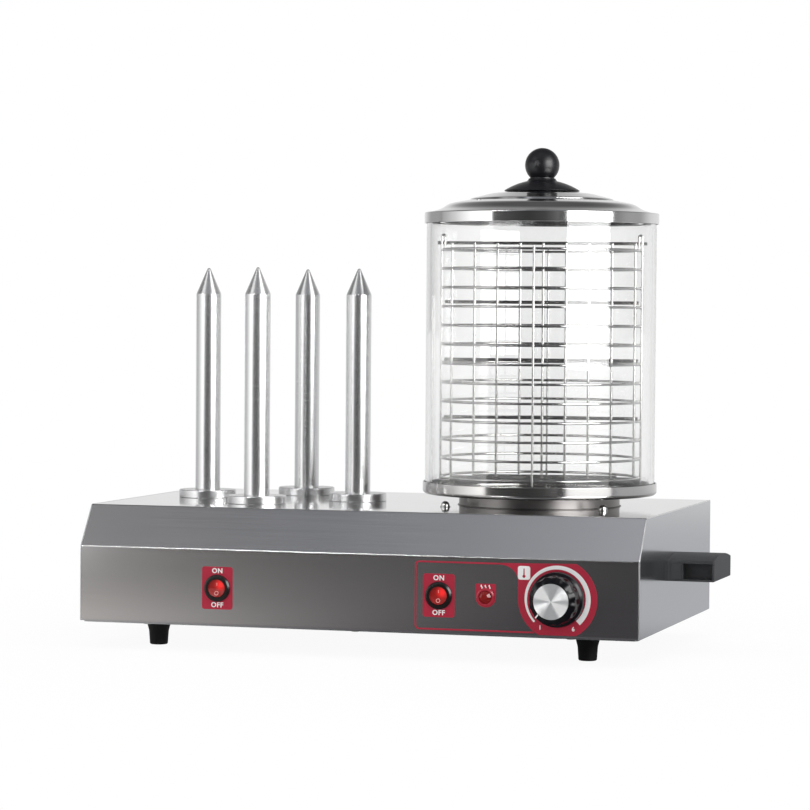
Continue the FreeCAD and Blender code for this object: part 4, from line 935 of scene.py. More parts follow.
def build_feet():
    """Waisted rubber feet with a recess for their screws."""
    bore = 2.1 * MM
    recess = 3.9 * MM
    for name in FEET:
        node = "foot_" + name
        high = span(node).z
        top = span(node).x / 2
        outline = softened([
            (bore, high), (top, high, 0.0006), (0.76 * top, 0.53 * high, 0.012),
            (0.69 * top, 0, 0.0014), (recess, 0, 0.0003), (recess, high / 2), (bore, high / 2),
        ])
        turned_piece(node + "_rubber", node, outline, foot_of(node), "foot_rubber", 72)


# ---------------------------------------------------------------- toasting spikes
def build_spikes():
    """Turned spikes and their round discs."""
    tip = 0.0017
    cone = 0.0232
    rise = 0.007
    for name in SPIKES:
        node = "spike_" + name
        tall = span(node).z
        radius = span(node).x / 2
        lean = math.degrees(math.atan2(radius - tip, cone))
        cap = arc((0, tall - tip), tip, lean, 90, 8)[:-1] + [(0, tall)]
        outline = softened([(0, 0), (radius, 0, 0.0003), (radius, tall - cone, 0.001)] + cap)
        turned_piece(node + "_turned", node, outline, foot_of(node), "turned_aluminium", 96)
        disc = "spike_disc_" + name
        at = Vector((middle(disc).x, middle(disc).y, TOP_Z))
        edge = span(disc).x / 2
        outline = softened([(0, 0), (edge, 0, 0.0005), (edge, rise, 0.0009), (0, rise)])
        turned_piece(disc + "_turned", disc, outline, at, "turned_aluminium", 128)


# ---------------------------------------------------------------- steam cylinder
def build_steamer():
    """Collar, water pan, glass tube and the screws around the collar."""
    r = 0.070
    high = span("heater_collar").z
    wall = 0.0012
    rim = r + 0.0012
    inner = r - 0.008
    outline = softened([
        (r - wall, 0), (rim, 0, 0.0002), (rim, 0.0005, 0.0002), (r, 0.0006, 0.0003),
        (r, high, 0.0012), (inner, high), (inner, high - wall), (r - wall, high - wall, 0.0004),
    ])
    turned_piece("collar_spun", "heater_collar", outline, foot_of("heater_collar"), "collar_steel",
                 160)
    r = span("water_pan").x / 2
    high = span("water_pan").z
    t = PAN_WALL
    lip = 0.00049
    outline = softened([
        (0, 0), (r, 0, 0.0035), (r, high, lip), (r - t, high, lip), (r - t, t, 0.0025), (0, t),
    ], 8)
    turned_piece("pan_spun", "water_pan", outline, foot_of("water_pan"), "pan_steel", 192)
    r = span("glass_cylinder").x / 2
    high = span("glass_cylinder").z
    melt = 0.001
    outline = softened([
        (r, 0, melt), (r, high, melt), (r - GLASS_WALL, high, melt), (r - GLASS_WALL, 0, melt),
    ], 4)
    turned_piece("glass_tube", "glass_cylinder", outline, foot_of("glass_cylinder"), clear_glass(),
                 256)
    build_collar_screws()


def build_collar_screws():
    """Dome screws on their washers, in a ring around the collar."""
    ring = 0.0895
    turns = [math.radians(a) for a in (-141, -39, 90)]
    spots = [(STEAMER.x + ring * math.cos(a), STEAMER.y + ring * math.sin(a), TOP_Z) for a in turns]
    outline = [(0, -0.003), (0.002, -0.003), (0.002, 0), (0.0044, 0), (0.0044, 0.0008, 0.0002),
               (0.0037, 0.0008)]
    outline = softened(outline + arc((0, 0.0013), 0.0037, 0, 90, 8)[:-1] + [(0, 0.005)])
    screw = mesh_from(lathe(outline, Vector(), UPRIGHT, 40), "dome_screw")
    screws = copies("collar_screws_row", screw, spots, "plated_steel")
    add_piece("collar_screws_domed", screws, "plated_steel", "collar_screws", ("collar_screws",))


# ---------------------------------------------------------------- basket
# How deep crossing wires are melted into each other by a weld.
MELT = 0.0004


def build_basket():
    """Wire basket: rings on four posts, divider and floor, all welded."""
    s = settings("wire")
    top = s.ring_lowest + (s.ring_count - 1) * s.ring_pitch
    low = s.ring_lowest - s.ring_wire / 2
    build_ring_stack(top + s.ring_wire)
    build_divider(low, top + 0.006 - low)
    build_basket_floor(low - s.grid_wire / 2)


def build_ring_stack(above):
    """Rings, two straight and two hooked posts, and a weld where they meet."""
    s = settings("wire")
    gap = 0.0003
    reach = s.ring_radius + s.ring_wire / 2 + s.post_wire / 2 - MELT
    crown = above + s.hook_rise
    meshes = [grown(ring_stack_tree("wire_steel"), {
        "Count": s.ring_count, "First": (0, 0, s.ring_lowest), "Step": (0, 0, s.ring_pitch),
        "Ring Radius": s.ring_radius, "Wire Radius": s.ring_wire / 2})]
    for side in (-1, 1):
        far = side * reach
        near = side * (reach - s.hook_reach)
        meshes.append(wire_path([(0, far, gap), (0, far, above)], s.post_wire / 2))
        hook = [(far, 0, gap), (far, 0, crown), (near, 0, crown), (near, 0, above)]
        meshes.append(wire_path(hook, s.post_wire / 2, s.hook_reach / 2 - 0.0001))
    weld = reach - 0.0014
    heights = [s.ring_lowest + i * s.ring_pitch for i in range(s.ring_count)]
    spots = [(x, y, z) for z in heights
             for x, y in ((weld, 0), (-weld, 0), (0, weld), (0, -weld))]
    bead = bmesh.new()
    bmesh.ops.create_icosphere(bead, subdivisions=2, radius=0.00155)
    meshes.append(copies("beads", mesh_from(bead, "weld_bead"), spots, "wire_steel"))
    place_in_basket("basket_wires", meshes, "basket_rings", "basket_posts")


def build_divider(low, rise):
    """Flat grid that parts the basket: uprights, cross bars and a rail that lies on the posts."""
    s = settings("wire")
    row = wire_row_tree("wire_steel")
    inner = s.ring_radius - s.ring_wire / 2
    first = s.grid_offset - (s.grid_count - 1) / 2 * s.grid_pitch
    behind = s.grid_wire / 2 + s.bar_wire / 2 - MELT
    beside_post = s.post_wire / 2 + s.bar_wire / 2 - MELT / 2
    uprights = grown(row, {
        "Count": s.grid_count, "First": (first, 0, low), "Step": (s.grid_pitch, 0, 0),
        "Reach": (0, 0, rise), "Wire Radius": s.grid_wire / 2})
    bars = grown(row, {
        "Count": s.bar_count, "First": (-inner, behind, s.bar_lowest), "Step": (0, 0, s.bar_pitch),
        "Reach": (2 * inner, 0, 0), "Wire Radius": s.bar_wire / 2})
    rail = wire_path([(-s.rail_reach, beside_post, low + rise),
                      (s.rail_reach, beside_post, low + rise)], s.bar_wire / 2)
    place_in_basket("divider_wires", [uprights, bars, rail], "basket_divider")


def build_basket_floor(height):
    """Wires side by side under the lowest ring, each as long as the ring is wide there."""
    s = settings("wire")
    wires = []
    for i in range(s.floor_count):
        offset = (i - (s.floor_count - 1) / 2) * s.floor_pitch
        half = math.sqrt(s.ring_radius ** 2 - offset ** 2)
        wires.append(wire_path([(-half, offset, height), (half, offset, height)], s.grid_wire / 2))
    place_in_basket("floor_wires", wires, "basket_floor")


def place_in_basket(name, meshes, *nodes):
    """Join wires, turn them about the basket's axis and set them in the pan in place of nodes."""
    mesh = joined(meshes, name)
    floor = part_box("water_pan")[0].z + PAN_WALL
    to_basket = Matrix.Translation((STEAMER.x, STEAMER.y, floor))
    mesh.transform(to_basket @ Matrix.Rotation(settings("wire").turned, 4, "Z"))
    add_piece(name, mesh, "wire_steel", nodes[0], nodes)


# ---------------------------------------------------------------- lid
# Radius and height of the lid's outer line above its flat rim, in mm.
LID_RISE_MM = 18.3
LID_KNOTS_MM = ((0, LID_RISE_MM), (14, LID_RISE_MM), (32, 18.0), (43.5, 16.8), (52, 14.8),
                (61.3, 12.4), (63, 11.2), (71, 9.6), (80, 7.7), (86.6, 3.9), (90.5, 2.2), (97.5, 0))


def lid_line():
    """Outer line of the lid from its middle to its flat rim, a smooth curve through its knots."""
    steps = 6
    last = len(LID_KNOTS_MM) - 1
    line = []
    for i in range(last):
        p0 = Vector(LID_KNOTS_MM[max(i - 1, 0)])
        p1 = Vector(LID_KNOTS_MM[i])
        p2 = Vector(LID_KNOTS_MM[i + 1])
        p3 = Vector(LID_KNOTS_MM[min(i + 2, last)])
        for k in range(steps):
            t = k / steps
            p = 0.5 * (2 * p1 + (p2 - p0) * t + (2 * p0 - 5 * p1 + 4 * p2 - p3) * t * t
                       + (3 * p1 - p0 - 3 * p2 + p3) * t ** 3)
            line.append((max(p.x, 0) * MM, min(p.y, LID_RISE_MM) * MM))
    return line + [(LID_KNOTS_MM[-1][0] * MM, 0)]


def build_lid():
    """Pressed lid with its band, inner ring and ball knob."""
    radius = span("lid").x / 2
    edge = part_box("lid")[1].z - LID_RISE_MM * MM
    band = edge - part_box("lid")[0].z
    t = 0.001
    outside = lid_line()
    inside = [(r, z - t) for r, z in outside]
    corner = arc((radius - t, -t), t, 90, 0, 6)
    outline = outside + corner + [(radius, -band), (radius - t, -band), (radius - t, -t)]
    outline += inside[::-1]
    at = Vector((STEAMER.x, STEAMER.y, edge))
    shell = mesh_from(lathe(outline, at, UPRIGHT, 224), "lid_pressed", math.radians(50))
    add_piece("lid_pressed", with_vent(shell, at), "polished_steel", "lid", ("lid",))
    refined("lid_ring", 0, "polished_steel", "lid_ring_spun")
    build_lid_knob()


def with_vent(mesh, at):
    """The lid's mesh with its steam vent cut through."""
    angle = math.radians(232)
    out = 0.067
    radius = 0.0032
    centre = at + Vector((out * math.cos(angle), out * math.sin(angle), 0.0))
    bm = bmesh.new()
    bmesh.ops.create_cone(bm, cap_ends=True, segments=32, radius1=radius, radius2=radius,
                          depth=0.04, matrix=Matrix.Translation(centre))
    return carved(mesh, bm)


def build_lid_knob():
    """Ball knob on a waisted neck, with an umbrella flange on a small boss."""
    tall = span("lid_knob").z
    flange = span("lid_knob").x / 2
    ball = 0.015
    neck = 0.0105
    boss = 0.0133
    start = math.degrees(math.acos(neck / ball))
    outline = [(0, 0), (boss, 0), (boss, 0.0006), (flange - 0.0003, 0.0006), (flange, 0.0010),
               (flange - 0.0002, 0.0015)]
    outline += arc((0.0, -0.0503), 0.0612, 57.7, 77.5, 14)
    outline += [(0.0120, 0.0108), (0.0118, 0.0116), (0.0106, 0.0120)]
    outline += arc((0, tall - ball), ball, -start, 90, 36)[:-1] + [(0, tall)]
    turned_piece("lid_knob_moulded", "lid_knob", outline, foot_of("lid_knob"), "satin_black", 128,
                 sharp=math.radians(40))


# ---------------------------------------------------------------- switches and lamp
ROCKER_LEAN = math.radians(7)


def build_switches():
    """Round rocker switches: black bezels and lit rockers with their marks."""
    mouth = 0.0082 + 0.00012
    mouth_centre = -0.001
    depth = -0.012
    lip = [(math.sqrt(mouth ** 2 - (h - mouth_centre) ** 2), h)
           for h in (0.0026, 0.0020, 0.0010, 0.0, -0.001)]
    for side in SIDES:
        node = "switch_body_" + side
        rim = span(node).x / 2
        neck = rim - 0.0016
        outline = [(neck, depth), (neck, 0), (rim, 0), (rim, 0.0012, 0.0006),
                   (neck, 0.0026, 0.0005), (lip[0][0] + 0.0002, 0.00255)]
        outline = softened(outline + lip + [(lip[-1][0], depth)])
        turned_piece("bezel_" + side, node, outline, on_front(node), "bezel_black", 96, TO_FRONT)
        build_rocker(side)


def rocker_frame(side, pressed, along):
    """Matrix of a spot on a rocker's face: pressed is 1 on the upper face, -1 on the lower."""
    pivot = Vector((middle("rocker_" + side).x, FRONT_Y + 0.001, middle("control_knob").z))
    out = -0.0022 - along * math.tan(ROCKER_LEAN)
    lean = Matrix.Rotation(-ROCKER_LEAN, 4, "X")
    spot = Matrix.Translation((0, out, pressed * along))
    tilt = Matrix.Rotation(pressed * ROCKER_LEAN, 4, "X")
    return Matrix.Translation(pivot) @ lean @ spot @ tilt


def build_rocker(side):
    """A lit rocker with I on its upper face and O on its lower face."""
    node = "rocker_" + side
    # The glow's hot core sits up and to the right of the rocker's middle: the rocker's own lamp, with
    # a painted highlight where its upper face catches light from above.
    bulb = on_front(node) + Vector((0.0034, 0, 0.0030))
    refined(node, 0.00022, lit_red("lit_" + node, bulb, 0.0072, 0.75), node + "_lit", segments=3)
    bm = bmesh.new()
    bar = Matrix.Diagonal((0.0005, 0.00012, 0.0024, 1))
    bmesh.ops.create_cube(bm, size=1.0, matrix=rocker_frame(side, 1, 0.0032) @ bar)
    inner, outer = 0.0013, 0.0018
    under, over = -0.00005, 0.00006
    ring = lathe([(inner, under), (outer, under), (outer, over), (inner, over)], Vector(), TO_FRONT,
                 40)
    bmesh.ops.transform(ring, matrix=rocker_frame(side, -1, 0.0044), verts=ring.verts)
    loop = bpy.data.meshes.new("loop")
    ring.to_mesh(loop)
    ring.free()
    bm.from_mesh(loop)
    add_piece(node + "_marks", mesh_from(bm, node + "_marks"), "lens_mark", node)


def build_lamp():
    """Indicator lamp: glossy ring and faceted red lens."""
    node = "lamp_body"
    at = on_front(node)
    rim = span(node).x / 2
    barrel, depth = 0.0049, -0.02
    face = 0.0020
    seat = 0.0008
    outline = softened([
        (barrel, depth), (barrel, 0), (rim, 0), (rim, 0.0010, 0.0005), (rim - 0.0010, face, 0.0004),
        (0.0056, face, 0.0003), (0.0053, seat), (0, seat), (0, depth),
    ])
    turned_piece("lamp_ring", node, outline, at, "lamp_rim", 96, TO_FRONT)
    refined("lamp_lens", 0.0002, lit_red("lamp_red", at, 0.008, 0.05, 0.62), "lamp_lens_faceted",
            math.radians(12))


# ---------------------------------------------------------------- thermostat knob
# Flutes between the knob's skirt and its face; the face is inside FACE_EDGE.
FLUTES = 12
FLUTE_DEPTH = 0.0010
FLUTE_FOOT = 0.0095
FACE_EDGE = 0.0152
FACE_HEIGHT = 0.0234


def scalloped(radius, height, angle):
    """Radius of the knob at a height and angle: flutes above the skirt that fade at the face."""
    if height < FLUTE_FOOT or radius < FACE_EDGE:
        return radius
    wave = (0.5 + 0.5 * math.cos(FLUTES * angle)) ** 1.3
    rise = min((height - FLUTE_FOOT) / 0.004, 1.0) * min((FACE_HEIGHT - height) / 0.003, 1.0)
    return radius - FLUTE_DEPTH * wave * max(rise, 0.0)


def build_thermostat_knob():
    """Fluted knob with a spun metal disc and a white pointer."""
    at = on_front("control_knob")
    skirt = span("control_knob").x / 2
    outline = [(0.0150, 0.001), (skirt - 0.001, 0.001, 0.0004), (skirt, 0.0024, 0.0006),
               (skirt - 0.0006, 0.0062, 0.0010), (0.0208, 0.0080, 0.0008)]
    outline += [(0.0206 - 0.0008 * k / 8, 0.0084 + 0.0100 * k / 8) for k in range(9)]
    outline += [(0.0198 - 0.0044 * k / 8, 0.0184 + 0.0044 * k / 8) for k in range(1, 9)]
    outline += [(0.0151, FACE_HEIGHT, 0.0003), (0.0149, 0.0239, 0.0001),
                (0.0148, 0.0230), (0, 0.0230), (0, 0.0200), (0.0146, 0.0200)]
    turned_piece("thermostat_knob", "control_knob", softened(outline, 4), at, "gloss_black", 240,
                 TO_FRONT, scalloped, math.radians(38))
    low, high, edge = 0.0231, 0.02395, 0.0147
    disc = softened([(0, low), (edge, low), (edge, high, 0.0002), (0, high)])
    turned_piece("knob_disc_spun", "knob_disc", disc, at, spun_disc(at), 160, TO_FRONT)
    build_pointer(at)


def build_pointer(at):
    """White pointer line on the knob, at half past seven."""
    half_width = 0.0006
    clear = 0.00003
    angle = math.radians(225)
    out = Vector((math.cos(angle), 0, math.sin(angle)))
    side = Vector((-out.z, 0, out.x)) * half_width
    line = ((0.0153, 0.0234), (0.0158, 0.0226), (0.0199, 0.0186), (0.0204, 0.0140), (0.0209, 0.0085))
    bm = bmesh.new()
    rows = []
    for r, h in line:
        p = at + out * (r + clear) - Y_AXIS * h
        rows.append([bm.verts.new(p + side), bm.verts.new(p - side)])
    for (a, b), (c, d) in zip(rows, rows[1:]):
        bm.faces.new((a, b, d, c))
    faces = list(bm.faces)
    bmesh.ops.recalc_face_normals(bm, faces=faces)
    bmesh.ops.solidify(bm, geom=faces, thickness=-0.00012)
    bmesh.ops.recalc_face_normals(bm, faces=bm.faces)
    add_piece("knob_pointer", mesh_from(bm, "knob_pointer"), WHITE, "control_knob")


# ---------------------------------------------------------------- printed labels
# How far a print's back lies in what is under it.
SUNK = 0.00002
# Depths of white print on a red label, in thicknesses of a label.
OVERPRINT = (1.0, 1.6)
# How far the dial's plate sweeps out to the left.
SWEEP = 0.0159


def plate(outline, low, high):
    """A flat plate on the lower front from an outline in x and z, between two depths in front."""
    bm = bmesh.new()
    back = [bm.verts.new((x, FRONT_Y - low, z)) for x, z in outline]
    face = bm.faces.new(back)
    bmesh.ops.recalc_face_normals(bm, faces=[face])
    lifted = bmesh.ops.extrude_face_region(bm, geom=[face])
    fronts = [v for v in lifted["geom"] if isinstance(v, bmesh.types.BMVert)]
    bmesh.ops.translate(bm, verts=fronts, vec=(0, low - high, 0))
    bmesh.ops.recalc_face_normals(bm, faces=bm.faces)
    bmesh.ops.triangulate(bm, faces=[f for f in bm.faces if len(f.verts) > 4])
    return bm


def ribbon(path, widths):
    """Outline of a band along a path of points, with a width at each."""
    left = []
    right = []
    for i, p in enumerate(path):
        before = Vector(path[max(i - 1, 0)])
        after = Vector(path[min(i + 1, len(path) - 1)])
        way = (after - before).normalized()
        side = Vector((-way.y, way.x)) * (widths[i] / 2)
        left.append(tuple(Vector(p) + side))
        right.append(tuple(Vector(p) - side))
    return left + right[::-1]


def rounded_box(x, z, wide, high, corner):
    """Outline of a rounded rectangle about a point."""
    a, b = wide / 2, high / 2
    return softened([(x - a, z - b, corner), (x + a, z - b, corner), (x + a, z + b, corner),
                     (x - a, z + b, corner)])


def printed(name, outline, colour=RED, low=0.0, high=1.0):
    """A printed shape on the lower front; low and high are depths in thicknesses of a label."""
    thick = settings("label").thickness
    bm = plate(outline, low * thick - SUNK, high * thick)
    return add_piece(name, mesh_from(bm, name), colour, "housing_wrap")


def lettering(name, words, x, z, size, bold):
    """Small printed words or numbers on the lower front, centred on a point."""
    relief = 0.00004
    text = bpy.data.curves.new(name, "FONT")
    text.body = words
    text.size = size
    text.align_x = "CENTER"
    text.align_y = "CENTER"
    text.extrude = relief
    text.offset = bold
    text.resolution_u = 3
    text.space_character = 1.12
    mesh = plain_mesh(linked(name, text))
    out = FRONT_Y - settings("label").thickness - relief
    mesh.transform(Matrix.Translation((x, out, z)) @ Matrix.Rotation(math.pi / 2, 4, "X"))
    return add_piece(name, mesh, WHITE, "housing_wrap")


def build_labels():
    """Red labels with plain words and marks beside the switches, the lamp and the dial."""
    s = settings("label")
    inset = 0.0036
    letter = 0.0058
    bold = 0.00016
    mid_z = (s.plate_low + s.plate_high) / 2
    for side in SIDES:
        x = middle("switch_body_" + side).x
        printed("switch_label_" + side,
                rounded_box(x, mid_z, s.plate_width, s.plate_high - s.plate_low, s.plate_corner))
        lettering("on_" + side, "ON", x, s.plate_high - inset, letter, bold)
        lettering("off_" + side, "OFF", x, s.plate_low + inset, letter, bold)
    build_lamp_label()
    build_dial_label()
    build_frame_line()
    build_dial_scale()
    build_thermometer_sign()


def build_lamp_label():
    """Label of the lamp: square above, round below, with a sign for heat."""
    x = middle("lamp_body").x
    half = 0.0088
    low = 0.0460
    top = 0.0656
    outline = arc((x, low + half), half, 180, 360, 24)
    outline = softened(outline + [(x + half, top, 0.0012), (x - half, top, 0.0012)])
    printed("lamp_label", outline)
    for k in (-1, 0, 1):
        wave = [(x + k * 0.0034 + 0.0005 * math.sin(t * math.pi / 4), top - 0.0042 + t * 0.0004)
                for t in range(9)]
        printed("heat_mark_" + str(k + 2), ribbon(wave, [0.0009] * len(wave)), WHITE, *OVERPRINT)


def build_dial_label():
    """Red plate of the dial: round, clipped above and below, and swept out to the frame's line."""
    s = settings("label")
    knob = middle("control_knob")
    centre = (knob.x, knob.z)
    clip = math.degrees(math.asin(s.dial_half / s.dial_radius))
    left = knob.x - s.dial_radius
    swoop = [(left - SWEEP + SWEEP * math.cos(math.radians(a)),
              0.0685 + 0.0134 * math.sin(math.radians(a))) for a in range(0, 91, 6)]
    outline = arc(centre, s.dial_radius, -clip, clip, 40)
    outline += [(left - SWEEP, s.frame_high)] + swoop[::-1]
    outline += arc(centre, s.dial_radius, 180, 360 - clip - 2 * (90 - clip), 24)
    printed("dial_label", outline)


def build_frame_line():
    """Red line from the dial's sweep round the switch and the lamp, and back to the dial."""
    s = settings("label")
    knob = middle("control_knob")
    half = s.line / 2
    corner = 0.0030
    x0 = s.frame_left + half
    z0 = s.frame_low + half
    z1 = s.frame_high - half
    lap = 0.0001
    path = [(knob.x - s.dial_radius - SWEEP + 0.0004, z1)]
    path += arc((x0 + corner, z1 - corner), corner, 90, 180, 8)
    path += arc((x0 + corner, z0 + corner), corner, 180, 270, 8)
    path += [(knob.x - math.sqrt(s.dial_radius ** 2 - (knob.z - z0 - half) ** 2) + lap, z0)]
    printed("frame_line", ribbon(path, [s.line] * len(path)))


def build_dial_scale():
    """White scale that widens clockwise around the knob, with its end numbers."""
    knob = middle("control_knob")
    steps = 60
    start, end = 224.3, -47.3
    thin, growth = 0.0017, 0.0029
    outer = 0.0279
    scale = []
    widths = []
    for i in range(steps + 1):
        t = i / steps
        widths.append(thin + growth * t)
        a = math.radians(start + (end - start) * t)
        r = outer - widths[-1] / 2
        scale.append((knob.x + r * math.cos(a), knob.z + r * math.sin(a)))
    printed("dial_scale", ribbon(scale, widths), WHITE, *OVERPRINT)
    lettering("dial_low", "1", knob.x - 0.0146, 0.0309, 0.0050, 0.00014)
    lettering("dial_high", "6", knob.x + 0.0134, 0.0304, 0.0050, 0.00014)


def build_thermometer_sign():
    """White square with a small thermometer."""
    x, z = 0.1474, 0.0756
    tube = 0.00045
    tube_top = z + 0.0032
    thick = settings("label").thickness
    printed("sign_square", rounded_box(x, z, 0.0105, 0.0113, 0.0020), WHITE, *OVERPRINT)
    bulb = arc((x, z - 0.0028), 0.0013, 115, 425, 20)
    stem = bulb + [(x + tube, tube_top)] + arc((x, tube_top), tube, 0, 180, 8)
    sign = mesh_from(plate(stem, 1.5 * thick, 1.9 * thick), "sign_thermometer")
    add_piece("sign_thermometer", sign, RED, "housing_wrap")


# ---------------------------------------------------------------- fasteners and inner pieces
def build_fasteners():
    """Screws, nuts and washers; the base plate's screws have low heads."""
    low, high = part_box("base_screws")
    r = 0.004
    shank = 0.002
    under = -0.0007
    outline = softened([(0, under), (r - 0.0006, under, 0.0002), (r, 0), (shank, 0),
                        (shank, 0.0050), (0, 0.0050)])
    screw = mesh_from(lathe(outline, Vector(), UPRIGHT, 32), "low_screw")
    seat = foot_of("base_plate").z
    spots = [(x, y, seat) for x in (low.x + r, 0, high.x - r) for y in (low.y + r, high.y - r)]
    screws = copies("base_screws_row", screw, spots, "plated_steel")
    add_piece("base_screws_low", screws, "plated_steel", "base_screws", ("base_screws",))
    dress("plated_steel", "foot_screws", "foot_nuts", "handle_screws", "collar_nuts", "spike_nuts",
          "thermostat_screws", "pan_stud", "pan_nut", "earth_stud", "knob_washer", "knob_screw",
          "thermostat_shaft")


def build_inner_pieces():
    """Heaters, thermostat, wiring blocks and gland."""
    dress("heated_sheath", "cartridge_heaters", "heating_element")
    dress("pale_plastic", "thermostat", "dry_run_cutout", "terminal_block")
    dress("zinc_sheet", "element_clamp")
    dress("copper", "sensing_bulb")
    dress("bezel_black", "gland_nut")
    refined("cable_gland", 0.0003, "bezel_black")


# ---------------------------------------------------------------- studio
# The room as metal mirrors it. Each pair is a place and the level or colour there: the wall behind
# by height, the ceiling from left to right, and the floor in front by x.
WHITE_LIGHT = (1.0, 1.0, 1.0, 1.0)
BEHIND = ((-1.0, 0.86), (0.08, 0.86), (0.28, 0.76), (0.46, 0.40), (0.62, 0.17), (0.80, 0.08),
          (1.0, 0.12))
CEILING = (
    (-0.50, (0.30, 0.29, 0.30)), (-0.40, (0.42, 0.40, 0.41)), (-0.355, (0.22, 0.22, 0.235)),
    (-0.31, (0.10, 0.105, 0.12)), (-0.275, (0.11, 0.12, 0.14)), (-0.235, (0.36, 0.38, 0.43)),
    (-0.20, (0.72, 0.74, 0.80)), (-0.15, (0.85, 0.86, 0.90)), (-0.08, (0.30, 0.31, 0.33)))
FLOOR_IN_FRONT = (
    (-0.60, (0.42, 0.41, 0.40)), (-0.485, (0.37, 0.35, 0.34)), (-0.36, (0.34, 0.32, 0.31)),
    (-0.25, (0.23, 0.22, 0.22)), (-0.18, (0.19, 0.18, 0.18)), (-0.07, (0.15, 0.14, 0.145)),
    (0.02, (0.09, 0.082, 0.088)), (0.10, (0.05, 0.046, 0.052)), (0.40, (0.04, 0.038, 0.042)))
FLOOR_FAR_BACK = (0.56, 0.57, 0.59)
FLOOR_AT_BACK = (0.86, 0.86, 0.86)

# Cards from start to stop in plan and from low to high: dark in front, white at the left with a
# short one beside it, a thin bright strip for the fold, two high ones for what leans back, and a low
# one under the key light. Marks are places along an axis with their levels; foot is the share of
# them that is left at the floor.
CARDS = {
    "front_card": dict(start=(-0.95, -1.05), stop=(0.74, -1.05), low=0.0, high=1.3, axis="X",
                       marks=((-0.95, 0.11), (-0.35, 0.07), (0.15, 0.045), (0.45, 0.07),
                              (0.74, 0.16))),
    "left_card": dict(start=(-0.974, 0.13), stop=(-0.498, -0.774), low=0.0, high=0.62, axis="X",
                      marks=((-0.974, 0.48), (-0.88, 0.62), (-0.78, 0.86), (-0.69, 1.2),
                             (-0.59, 1.6), (-0.498, 2.0)), foot=0.22),
    "fold_card": dict(start=(-0.75, -1.0), stop=(-0.05, -1.0), low=0.60, high=0.66, axis="X",
                      marks=((-0.75, 50.0), (-0.35, 40.0), (-0.20, 14.0), (-0.05, 1.0))),
    "tall_left_card": dict(start=(-2.01, -0.895), stop=(-1.1, -1.905), low=1.5, high=2.75,
                           axis="X", marks=((-2.01, 1.1), (-1.1, 1.3))),
    "tall_right_card": dict(start=(1.94, -1.41), stop=(2.39, 0.17), low=1.3, high=3.1, axis="Y",
                            marks=((-1.41, 2.4), (0.17, 2.0))),
    "inner_card": dict(start=(-0.498, -0.774), stop=(-0.452, -0.861), low=0.28, high=0.62,
                       axis="X", marks=((-0.498, 2.0), (-0.452, 2.1))),
    "low_card": dict(start=(0.9385, -1.0047), stop=(1.4215, -0.0953), low=0.0, high=0.22,
                     axis="Z", marks=((0.0, 1.5), (0.22, 1.9))),
}


def rays(graph):
    """Shares of the light path: seen straight or through glass, and seen in metal or glass."""
    camera, glossy, through, mirrors, scatters = graph.outputs("ShaderNodeLightPath", (
        "Is Camera Ray", "Is Glossy Ray", "Is Transmission Ray", "Glossy Depth", "Diffuse Depth"))
    bounced = graph.maths("GREATER_THAN", mirrors, 0.5)
    scattered = graph.maths("GREATER_THAN", scatters, 0.5)
    eye = graph.maths("MAXIMUM", camera, through * (1 - bounced))
    shiny = graph.maths("MAXIMUM", glossy, through)
    return eye * (1 - scattered), shiny * bounced * (1 - scattered)


def studio_world():
    """White room to the eye and through glass; metal sees a grey front, sides and ceiling."""
    s = settings("studio")
    world = bpy.data.worlds.new("studio")
    world.use_nodes = True
    world.node_tree.nodes.clear()
    graph = Graph(world.node_tree)
    way = graph.node("ShaderNodeTexCoord", output="Generated")
    across, ahead, height = graph.outputs("ShaderNodeSeparateXYZ", "XYZ", {0: way})
    behind = graph.levels(height, BEHIND)
    beside = graph.levels(height, ((-1.0, s.side_grey), (0.15, s.side_grey), (0.45, 0.30),
                                   (0.80, 0.10), (1.0, 0.12)))
    wall = graph.blend(graph.swept(ahead, 0.55, 0.92), beside, behind)
    room = graph.blend(graph.swept(ahead, -0.25, 0.35), rgba((s.front_grey,) * 3), wall)
    above = graph.swept(height, 0.55, 0.85) * graph.swept(ahead, 0.10, -0.15)
    room = graph.blend(above, room, graph.levels(across, CEILING))
    eye, mirror = rays(graph)
    plain = graph.blend(mirror, rgba((s.daylight,) * 3), room)
    seen = graph.blend(eye, plain, WHITE_LIGHT)
    back = graph.node("ShaderNodeBackground", None, {"Color": seen, "Strength": 1.0})
    graph.node("ShaderNodeOutputWorld", None, {"Surface": back})
    bpy.context.scene.world = world


def flat_face(name, corners, shade):
    """One flat face with its own material."""
    mesh = bpy.data.meshes.new(name)
    mesh.from_pydata(corners, [], [tuple(range(len(corners)))])
    mesh.materials.append(made_once(name, shade))
    return linked(name, mesh)


def upright_card(name, start, stop, low, high, axis, marks, foot=1.0):
    """A card between two points in plan that only metal and glass mirror, dimmed near the floor."""
    def shade(graph):
        level = graph.levels(graph.axis(graph.coordinates(), axis), marks)
        dimmed = graph.swept(graph.axis(graph.coordinates(), "Z"), 0.02, 0.07, foot, 1.0)
        graph.end(graph.glow(level, dimmed))

    corners = [(*start, low), (*stop, low), (*stop, high), (*start, high)]
    card = flat_face(name, corners, shade)
    card.visible_camera = False
    card.visible_diffuse = False
    card.visible_shadow = False


